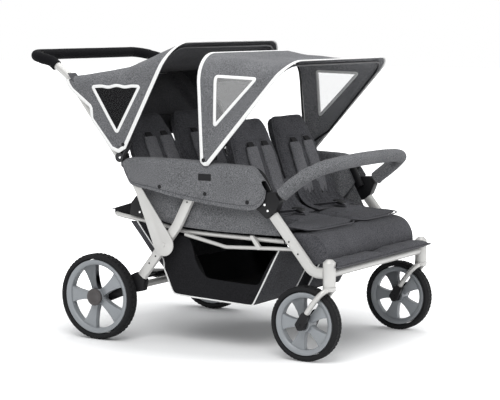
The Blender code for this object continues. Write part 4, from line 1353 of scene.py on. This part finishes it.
# %% Flap and wall
flap_low = plan_line([
    (0.091, 0.617), (0.114, 0.570), (0.136, 0.545), (0.210, 0.532), (0.325, 0.511), (0.470, 0.493),
    (0.596, 0.485), (0.634, 0.495), (0.658, 0.520), (0.664, 0.552)], 5)
flap_top = plan_line([
    (0.103, 0.6300), (0.112, 0.6340), (0.150, 0.6365), (0.245, 0.6370), (0.350, 0.6345), (0.470, 0.6290),
    (0.560, 0.6255), (0.596, 0.6215), (0.620, 0.6080), (0.644, 0.5800)], 5)
lining_low = plan_line([
    (0.118, 0.600), (0.124, 0.560), (0.150, 0.490), (0.245, 0.440), (0.350, 0.415), (0.480, 0.412),
    (0.560, 0.420), (0.596, 0.460), (0.630, 0.505), (0.662, 0.551)], 5)
FLAP_TURN, LINING_START = 0.5, 0.62
FLAP_OUTER_Y, FLAP_RAIL_Y, FLAP_LINING_Y = 0.3553, 0.3468, 0.2960


def flap_rule(side):
    """The flap from its outer hem, over the rail, to the foot of the lining."""

    def rule(u, v):
        a, b, c = at_share(u, flap_low, flap_top, lining_low)
        inner = FLAP_LINING_Y + 0.0230 * ease((b.x - 0.585) / 0.040)
        if v < FLAP_TURN:
            t = v / FLAP_TURN
            place = a.lerp(b, t)
            drop = (place - b).length
            y = FLAP_OUTER_Y - 0.0085 * math.exp(-drop / 0.006) + 0.0012 * math.sin(u * 17) * (1 - t)
            y = min(y + noise.noise(Vector((place.x * 14, place.z * 14, 5))) * 0.0012, 0.3565)
        elif v < LINING_START:
            t = (v - FLAP_TURN) / (LINING_START - FLAP_TURN)
            place = b + Vector((0, 0, 0.0012 * math.sin(math.pi * t)))
            y = FLAP_RAIL_Y - (FLAP_RAIL_Y - inner) * t
        else:
            t = (v - LINING_START) / (1 - LINING_START)
            place = b.lerp(c, t)
            y = inner - 0.0050 + 0.0050 * math.exp(-(place - b).length / 0.006)
            y += noise.noise(place * 12) * 0.001
        return at(place.x, side * y, place.z)

    return rule


wall_low = [Vector(p) for p in (
    (0.130, 0.537), (0.148, 0.520), (0.178, 0.472), (0.215, 0.426), (0.290, 0.4085), (0.380, 0.4040),
    (0.449, 0.4005), (0.560, 0.4000), (0.650, 0.4000), (0.698, 0.4005))]
wall_top = [Vector(p) for p in (
    (0.114, 0.596), (0.140, 0.596), (0.190, 0.596), (0.240, 0.596), (0.310, 0.596), (0.380, 0.596),
    (0.450, 0.596), (0.520, 0.596), (0.575, 0.594), (0.600, 0.582))]


def wall_rule(u, v):
    """The cloth wall under the flap on the right-hand side."""
    low, top = at_share(u, wall_low, wall_top)
    place = low.lerp(top, v)
    belly = 0.0016 * math.sin(math.pi * v) * math.sin(u * 9)
    belly += noise.noise(Vector((place.x * 9, place.y * 9, 3))) * 0.001
    return at(place.x, -(0.3188 + belly - 0.004 * math.exp(-v / 0.05)), place.y)


wall = laid_sheet("side_wall_right", 60, 20, wall_rule)
thicken(wall, 0.0022)
for side, s in SIDES.items():
    flap = cloth_piece(f"side_flap_{side}", (80, 60), flap_rule(s), 0.0022, melange_grey,
                       node=f"side_panel_{side}")
    this = on_side(wall, side)
    finish_piece(this, melange_grey, "chassis", 60)
    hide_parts(f"side_panel_{side}")

# %% [markdown]
# Small things tell the eye that cloth is sewn: the flap's hem stitching, three black snaps and a plain woven
# patch. Rivets hold the moulded parts to the tubes. One rivet and one snap are modelled and then copied.

# %% Hems, snaps, patch and rivets
def dome(name, radius, height):
    """A low round head that stands on the plane y = 0 and points to -y."""
    head = crosswise_cylinder(name, 24, radius, height, (0, -height / 2, 0))
    start_edit(head)
    select_faces(head, lambda face: face.normal.y < -SIDEWAYS)
    bpy.ops.mesh.inset(thickness=radius * 0.35, depth=height * 0.25)
    end_edit()
    soften(head, min(radius, height) * 0.25)
    return head


def copies(pattern, name, places, finish, body):
    """The pattern at each place, on both sides, as one piece per side."""
    for side, s in SIDES.items():
        heads = []
        for x, y, z in places:
            head = twin(pattern, "head", mirror=s > 0)
            head.data.transform(Matrix.Translation(at(x, s * y, z)))
            heads.append(head)
        group = joined(f"{name}_{side}", heads)
        finish_piece(group, finish, body)


snap = dome("snap_pattern", 0.0068, 0.0022)
rivet = dome("rivet_pattern", 0.0042, 0.0022)
pin = dome("pin_pattern", 0.0030, 0.0014)
copies(snap, "flap_snaps", [(0.247, 0.3560, 0.544), (0.430, 0.3560, 0.529), (0.595, 0.3560, 0.510)], black_plastic,
       "chassis")
copies(snap, "rear_canopy_snap", [(0.102, 0.3625, 0.6825)], black_plastic, "handle")
copies(snap, "front_canopy_snap", [(0.428, 0.3612, 0.6420)], black_plastic, "chassis")
copies(rivet, "connector_rivets", [(0.660, 0.3520, 0.505), (0.672, 0.3520, 0.486)], bright_rivet, "chassis")
copies(rivet, "bracket_rivets", [(0.141, 0.3206, 0.448), (0.163, 0.3206, 0.436)], bright_rivet, "chassis")
copies(rivet, "hub_rivets", [(0.086, 0.3592, 0.637)], bright_rivet, "rear_bow")
copies(pin, "front_leg_pins", [(0.748, 0.3460, 0.388), (0.782, 0.3460, 0.350)], bow_steel, "chassis")
copies(pin, "rear_leg_pins", [(0.196, 0.3460, 0.277), (0.222, 0.3460, 0.303), (0.352, 0.3460, 0.496)], bow_steel,
       "rear_frame")
for pattern in (snap, rivet, pin):
    bpy.data.objects.remove(pattern)

patch = laid_block("flap_patch_right", 3,
                   lambda u, v, w: at(0.404 + 0.050 * u, -(0.3562 + 0.0014 * v), 0.5735 + 0.0225 * w))
soften(patch, 0.0005)
on_both_sides(patch, webbing, "chassis")
for side, s in SIDES.items():
    rule = flap_rule(s)
    hem = [rule(i / 60, 0.045) + Vector((0, s * 0.0012, 0)) for i in range(61)]
    finish_piece(pipe(f"flap_hem_{side}", hem, 0.0009, sides=1), charcoal, "chassis")
    roll = [rule(i / 60, 0.0) for i in range(61)]
    finish_piece(pipe(f"flap_edge_{side}", roll, 0.0018, sides=2), melange_grey, "chassis")
print("sides done")

# %% [markdown]
# ## Basket
# The basket hangs from the frame as one cloth shell: floor, ends and sides in a single sheet whose long edges
# are scooped out so that bags can go in from the side. White piping stiffens the lower corners.

# %% Basket shell
basket_base = plan_line([
    (0.092, 0.410), (0.136, 0.356), (0.178, 0.306), (0.210, 0.275), (0.230, 0.252), (0.248, 0.214), (0.264, 0.180),
    (0.282, 0.1705), (0.350, 0.1665), (0.430, 0.1630), (0.510, 0.1595), (0.566, 0.1570), (0.5835, 0.1600),
    (0.598, 0.184), (0.628, 0.240), (0.659, 0.300), (0.6855, 0.350)], 4)
basket_lip = plan_line([
    (0.094, 0.412), (0.170, 0.402), (0.240, 0.388), (0.290, 0.374), (0.330, 0.366), (0.347, 0.330), (0.354, 0.300),
    (0.372, 0.266), (0.402, 0.238), (0.450, 0.232), (0.510, 0.229), (0.570, 0.2265), (0.604, 0.2285), (0.618, 0.244),
    (0.632, 0.272), (0.655, 0.312), (0.6835, 0.352)], 4)
REAR_WALL_OUT = Vector((0.774, 0, 0.633))
BASKET_HALF = 0.3025
FLOOR_PART = 0.66
FRONT_GAP = 0.047
GUSSET = 0.022


def basket_rule(u, v):
    """The point (u, v) of the basket: v runs from rear to front, u across from lip to lip."""
    base, lip_point = at_share(v, basket_base, basket_lip)
    across = (u - 0.5) * 2
    side = -1 if across < 0 else 1
    if abs(across) <= FLOOR_PART:
        t = across / FLOOR_PART
        sag = noise.noise(Vector((base.x * 8, t * 3, base.z * 8))) * 0.002
        rounding = max(0.0, abs(t) - 0.97) / 0.03 * 0.0015
        front = ease((base.x - 0.584) / 0.02)
        y = abs(t) * BASKET_HALF
        lobe = 0.013 * (1 - min(1.0, abs(y - 0.175) / 0.130) ** 4) - 0.016 * (1 - ease((y - 0.030) / 0.020))
        lobe *= front * ease((0.347 - base.z) / 0.05)
        return at(base.x + lobe * 0.88, t * BASKET_HALF, base.z + sag * (1 - abs(t)) + rounding - lobe * 0.47)
    t = (abs(across) - FLOOR_PART) / (1 - FLOOR_PART)
    place = base.lerp(lip_point, t)
    belly = 0.0012 * math.sin(math.pi * t) + noise.noise(Vector((place.x * 10, place.z * 10, side * 3))) * 0.0010
    return at(place.x, side * (BASKET_HALF + belly * min(1.0, t * 4)), place.z)


shell = cloth_piece("basket_shell", (140, 96), basket_rule, 0.0018, basket_black,
                    smooth=50, node="basket")
shell.data.materials.append(basket_grey)
for face in shell.data.polygons:
    x, y, z = face.center.x + AXLE_TO_MIDDLE, abs(face.center.y), face.center.z
    lobe = x > 0.5835 and y > FRONT_GAP and z > 0.162 and (face.normal.x > 0.3 or y < 0.30)
    gusset = z > 0.27 and (x - 0.094) * 0.774 + (z - 0.410) * 0.633 < GUSSET
    face.material_index = 1 if lobe or gusset else 0
for side, s in SIDES.items():
    corner = []
    for p in basket_base:
        place = p + REAR_WALL_OUT * (GUSSET * ease((p.z - 0.25) / 0.03) * (p.x < 0.3))
        corner.append(at(place.x, s * (BASKET_HALF + 0.0006), place.z))
    finish_piece(pipe(f"basket_piping_{side}", corner, 0.0026), white_tape, "chassis")
    gap_line = [at(x, s * FRONT_GAP, z) for x, z in
                ((0.590, 0.160), (0.612, 0.200), (0.640, 0.252), (0.668, 0.306), (0.686, 0.345))]
    finish_piece(pipe(f"basket_gap_piping_{side}", gap_line, 0.0024), white_tape, "chassis")
    rim_line = [at(p.x, s * (BASKET_HALF + 0.0002), p.z) for p in basket_lip]
    finish_piece(pipe(f"basket_lip_{side}", rim_line, 0.0019, sides=2), basket_black, "chassis")
    strap_line = line_through([at(x, s * y, z) for x, y, z in
                               ((0.300, 0.296, 0.372), (0.318, 0.250, 0.300), (0.345, 0.235, 0.230),
                                (0.362, 0.250, 0.184))], 6)
    finish_piece(flat_strap(f"basket_strap_{side}", strap_line, (0.9, 0.3, 0), 0.018, 0.0016, 16), webbing,
                 "chassis")
print("basket done")

# %% [markdown]
# ## Sling, calf panel and foot shelf
# The sling is the black cloth that carries the seats; it is stretched over the seat frame and over its rear
# bar. In front a padded calf panel falls from the seats to a foot shelf on the cross tube.

# %% Sling
sling_line = side_line([
    (-0.004, 0.4465), (0.030, 0.4570), (0.070, 0.4690), (0.098, 0.4760), (0.125, 0.4620), (0.165, 0.4405),
    (0.250, 0.4380), (0.340, 0.4370), (0.425, 0.4350), (0.445, 0.4140), (0.462, 0.4030), (0.560, 0.4020),
    (0.680, 0.4020), (0.786, 0.4020)], 4)
SLING_HALF = 0.2865


def sling_rule(u, v):
    """The sling hangs a little between its long edges."""
    across = (u - 0.5) * 2
    place = spot(sling_line, v)
    hang = 0.004 * math.cos(across * math.pi / 2) * math.sin(math.pi * v) ** 2
    return place + Vector((0, across * SLING_HALF, -hang))


cloth_piece("seat_sling_cloth", (40, 70), sling_rule, 0.0022, sling_black,
            node="seat_sling")

# %% Cheeks between the sling's edge and the frame's rear bend
cheek_low = side_line([(-0.012, 0.4330), (0.030, 0.4290), (0.070, 0.4260), (0.118, 0.4220)], 4)
cheek_top = side_line([(-0.012, 0.4445), (0.030, 0.4560), (0.070, 0.4680), (0.108, 0.4770)], 4)
REAR_SHARE, CHEEK_Y, REAR_BEND_Y = 0.4, 0.2880, 0.243


def cheek_rule(u, v):
    """Round the rear bend from side to side, up from the tube to the sling."""
    around = (u - 0.5) * 2
    side = -1 if around < 0 else 1
    if abs(around) > REAR_SHARE:
        t = (1 - abs(around)) / (1 - REAR_SHARE)
        low, top = spot(cheek_low, 1 - t), spot(cheek_top, 1 - t)
        y = side * (CHEEK_Y - (CHEEK_Y - REAR_BEND_Y) * max(0.0, t - 0.80) / 0.20)
    else:
        low, top = cheek_low[0], cheek_top[0]
        y = around / REAR_SHARE * REAR_BEND_Y
    place = low.lerp(top, v)
    return Vector((place.x, y, place.z))


cloth_piece("sling_cheeks", (120, 8), cheek_rule, 0.0018, sling_black)

# %% Calf panel
calf_line = side_line([(0.738, 0.4080), (0.780, 0.4110), (0.815, 0.4115), (0.843, 0.4000), (0.862, 0.3800),
                       (0.871, 0.3600), (0.8735, 0.3420), (0.874, 0.3270)], 5)
CALF_HALF, CALF_CHEEK_Y = 0.3150, 0.3128


def calf_cheek_rule(side):
    """The calf panel's soft side, which runs back under the seat."""

    def rule(u, v):
        place = spot(calf_line, v)
        back = Vector((max(at(0.704, 0, 0).x, place.x - 0.078), 0, place.z - 0.010 - 0.012 * v))
        bulge = 0.0025 * math.sin(math.pi * u) + noise.noise(Vector((u * 2, v * 5, 6))) * 0.0012
        spread = place.lerp(back, u)
        return Vector((spread.x, side * (CALF_CHEEK_Y + bulge), spread.z))

    return rule


def apron_rule(u, v):
    """The sling's front edge, turned down in front of the basket."""
    across = (u - 0.5) * 2
    wave = noise.noise(Vector((across * 6, v, 2))) * 0.003 * v
    return at(0.702 + 0.010 * v + wave, across * 0.311, 0.4180 - 0.050 * v)


for side, s in SIDES.items():
    cloth_piece(f"calf_cheek_{side}", (12, 40), calf_cheek_rule(s), 0.0020, charcoal)
cloth_piece("sling_apron", (60, 12), apron_rule, 0.0018, sling_black)


def calf_rule(u, v, w):
    """A soft panel with a seam down its middle."""
    across = (u - 0.5) * 2
    place, ahead = spot(calf_line, v), spot(calf_line, min(1.0, v + 0.04))
    behind = spot(calf_line, max(0.0, v - 0.04))
    along = (ahead - behind).normalized()
    outward = Vector((-along.z, 0, along.x))
    if outward.x < 0:
        outward = -outward
    height = (w - 0.5) * 2
    round_edge = (1 - abs(across) ** 14) ** 0.5 if abs(across) < 1 else 0.0
    round_end = (1 - abs(2 * v - 1) ** 14) ** 0.5 if 0 < v < 1 else 0.0
    thick = 0.0060 * (0.25 + 0.75 * round_edge * round_end)
    seam = -0.0024 * math.exp(-(across * 0.316 / 0.005) ** 2)
    soft = noise.noise(Vector((across * 5, v * 3.0, 4))) * 0.0040
    soft += noise.noise(Vector((across * 14, v * 6, 9))) * 0.0012
    relief = (seam + soft) * (1 if height > 0 else 0.4)
    return place + outward * (height * thick + relief) + Vector((0, across * CALF_HALF, 0))


calf = laid_block("calf_pad", 30, calf_rule)
finish_piece(calf, charcoal, "chassis", 60)
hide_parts("calf_panel")

# %% Foot shelf
shelf = padded_copy("foot_shelf_pad", "foot_shelf", 0.0022, 0.0035)


def shelf_relief(point, normal):
    """A sewn line behind the front edge, and soft hollows on each side of the middle."""
    x = point.x + AXLE_TO_MIDDLE
    up = 1 if normal.z > 0.3 else 0
    move = groove(x - 0.922, 0.0028, 0.0018) * up + groove(point.y, 0.006, 0.0030) * up
    swell = 0.0070 * ease((abs(point.y) - 0.01) / 0.06) * ease((0.342 - abs(point.y)) / 0.03) * up
    return move + swell * ease((0.934 - x) / 0.012) + noise.noise(point * 22) * 0.0022


press(shelf, shelf_relief)
finish_piece(shelf, charcoal, "chassis", 60)
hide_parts("foot_shelf")
shelf_edge = line_through([at(x, y, z) for x, y, z in
                           ((0.917, -0.343, 0.317), (0.930, -0.343, 0.317), (0.9335, -0.300, 0.3165),
                            (0.9340, 0, 0.3165), (0.9335, 0.300, 0.3165), (0.930, 0.343, 0.317),
                            (0.917, 0.343, 0.317))], 8)
finish_piece(pipe("foot_shelf_tape", shelf_edge, 0.0020), grey_tape, "chassis")
print("sling, calf panel and shelf done")

# %% [markdown]
# ## Handle grip and bumper
# The grip is a foam hose over the top of the push handle, with soft ends. The bumper is padded too, but its
# cover is sewn cloth, so it wrinkles a little where it bends and ends in black sockets.

# %% Grip
HANDLE_Y, HANDLE_BEND = 0.335, 0.055
BEND_X, BEND_Z, TOP_Z = -0.263, 0.9738, 0.985


def grip_route():
    """The middle line of the handle's top, with round corners."""
    line = [at(x, -HANDLE_Y, z) for x, z in ((-0.200, 0.9475), (-0.225, 0.9645), (-0.262, 0.9722))]
    for i in range(1, 12):
        a = math.pi / 2 * i / 12
        line.append(at(BEND_X - HANDLE_BEND * math.sin(a), -HANDLE_Y + HANDLE_BEND * (1 - math.cos(a)),
                       BEND_Z + (TOP_Z - BEND_Z) * math.sin(a)))
    line += [at(BEND_X - HANDLE_BEND, y, TOP_Z) for y in (-0.280, -0.210, -0.140, -0.070, 0.0)]
    return line + [Vector((p.x, -p.y, p.z)) for p in reversed(line[:-1])]


route = [place - Vector((0, 0, 0.0015)) for place in line_through(grip_route(), 2)]
grip = pipe("foam_grip", route, 0.0190, sides=7)
for point in grip.data.vertices:
    point.co += noise.noise_vector(point.co * 30) * 0.0004
finish_piece(grip, black_foam, "handle", 60)
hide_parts("handle_grip")
handle_part = nodes["handle_tube"]
handle_part.data.materials.clear()
handle_part.data.materials.append(satin_aluminium)
tidy_part(handle_part, False)

# %% Bumper pad
bumper_points = [(0.7170, -0.335, 0.5410), (0.7350, -0.335, 0.5555), (0.7540, -0.3350, 0.5705),
                 (0.7760, -0.3325, 0.5880), (0.798, -0.327, 0.6040), (0.820, -0.309, 0.6178),
                 (0.836, -0.285, 0.6280), (0.8450, -0.245, 0.6335), (0.850, -0.200, 0.6375),
                 (0.8535, -0.150, 0.6400), (0.855, -0.100, 0.6412), (0.856, -0.05, 0.6420), (0.856, 0.0, 0.6422)]
bumper_line = [at(*p) for p in bumper_points]
bumper_line += [Vector((p.x, -p.y, p.z)) for p in reversed(bumper_line[:-1])]
bumper_line = line_through(bumper_line, 5)
pad = pipe("bumper_cover", bumper_line, 0.0230, sides=8)
for point in pad.data.vertices:
    near_bend = ease((abs(point.co.y) - 0.20) / 0.08)
    ripple = math.sin(point.co.y * 190 + point.co.z * 60) * 0.0006 * near_bend
    point.co += noise.noise_vector(point.co * 22) * (0.0007 + 0.0006 * near_bend) + Vector((0, 0, ripple))
finish_piece(pad, melange_grey, "bumper", 70)
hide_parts("bumper_pad")
for side, s in SIDES.items():
    ring_at = bumper_line[0] if s < 0 else bumper_line[-1]
    ring_in = bumper_line[2] if s < 0 else bumper_line[-3]
    hem = pipe(f"bumper_hem_{side}", [ring_at, ring_at.lerp(ring_in, 0.5)], 0.0238, sides=6)
    finish_piece(hem, melange_grey, "bumper")
    socket = [at(0.714, s * 0.335, 0.5390), at(0.726, s * 0.335, 0.5484), at(0.742, s * 0.335, 0.5610)]
    collar = pipe(f"bumper_socket_{side}", socket, 0.0155, sides=6)
    finish_piece(collar, black_plastic, "bumper")
print("grip and bumper done")

# %% [markdown]
# ## The studio
# A pale floor and big soft lights from above keep the metal and the cloth at the level at which their colours
# were chosen. The backdrop is plain white for the camera only, so it adds no light to the stroller.

# %% Floor, world and lights
bpy.ops.mesh.primitive_plane_add(size=60, location=(0, 0, 0))
floor = named("studio_floor")
finish, tree, shader, coords = new_finish("pale_floor", 0.9)
shader.inputs["Base Color"].default_value = (0.90, 0.90, 0.90, 1)

NEAR_GLOW, FAR_GLOW = 0.0, 1.0


def seen_directly(tree):
    """1 for rays from the camera and for those that metal or netting sends on, and 0 for light."""
    rays = add_node(tree, "ShaderNodeLightPath")
    total = rays.outputs["Is Camera Ray"]
    for kind in ("Is Glossy Ray", "Is Transmission Ray"):
        total = add_node(tree, "ShaderNodeMath", {0: total, 1: rays.outputs[kind]}, operation="ADD",
                         use_clamp=True).outputs[0]
    return total


reach = add_node(tree, "ShaderNodeVectorMath", {0: coords}, operation="LENGTH")
grow = add_node(tree, "ShaderNodeMapRange", {"Value": reach.outputs["Value"], "From Min": 0.45, "From Max": 1.5,
                                             "To Min": NEAR_GLOW, "To Max": FAR_GLOW})
strength = add_node(tree, "ShaderNodeMath", {0: grow.outputs["Result"], 1: seen_directly(tree)}, operation="MULTIPLY")
glow = add_node(tree, "ShaderNodeEmission", {"Color": (1, 1, 1, 1), "Strength": strength.outputs[0]})
both = add_node(tree, "ShaderNodeAddShader", {0: shader.outputs[0], 1: glow.outputs[0]})
tree.links.new(both.outputs[0], tree.nodes["Material Output"].inputs["Surface"])
floor.data.materials.append(finish)
floor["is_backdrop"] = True

world = bpy.context.scene.world or bpy.data.worlds.new("studio")
bpy.context.scene.world = world
world.use_nodes = True
sky = world.node_tree
sky.nodes.clear()
soft_light = add_node(sky, "ShaderNodeBackground", {"Color": (0.96, 0.98, 1.0, 1), "Strength": 0.55})
plain_white = add_node(sky, "ShaderNodeBackground", {"Color": (1, 1, 1, 1), "Strength": 1.0})
mixed = add_node(sky, "ShaderNodeMixShader", {0: seen_directly(sky), 1: soft_light.outputs[0],
                                              2: plain_white.outputs[0]})
add_node(sky, "ShaderNodeOutputWorld", {"Surface": mixed.outputs[0]})


def studio_light(name, place, size, power):
    """A square soft light that looks at the stroller's middle."""
    bpy.ops.object.light_add(type="AREA", location=place)
    lamp = bpy.context.object
    lamp.name = name
    lamp.data.size = size
    lamp.data.energy = power
    lamp.rotation_euler = (Vector(place) - Vector((0.1, 0, 0.45))).to_track_quat("Z", "Y").to_euler()


studio_light("key_light", (1.2, -2.6, 3.2), 2.4, 95)
studio_light("top_light", (-0.4, 0.6, 3.4), 3.0, 60)
studio_light("front_light", (3.4, 0.8, 1.6), 2.0, 30)
bpy.context.scene.view_settings.view_transform = "Standard"

# %% [markdown]
# ## Sizes
# The box round the frame and the box round the dressed stroller are both printed. The
# dressed stroller has to stay as large as its frame.

# %% Sizes and finish
visual_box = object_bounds()
for label, box in (("frame", cad_box), ("dressed", visual_box)):
    print(label, [round(v, 4) for v in box[0]], [round(v, 4) for v in box[1]])
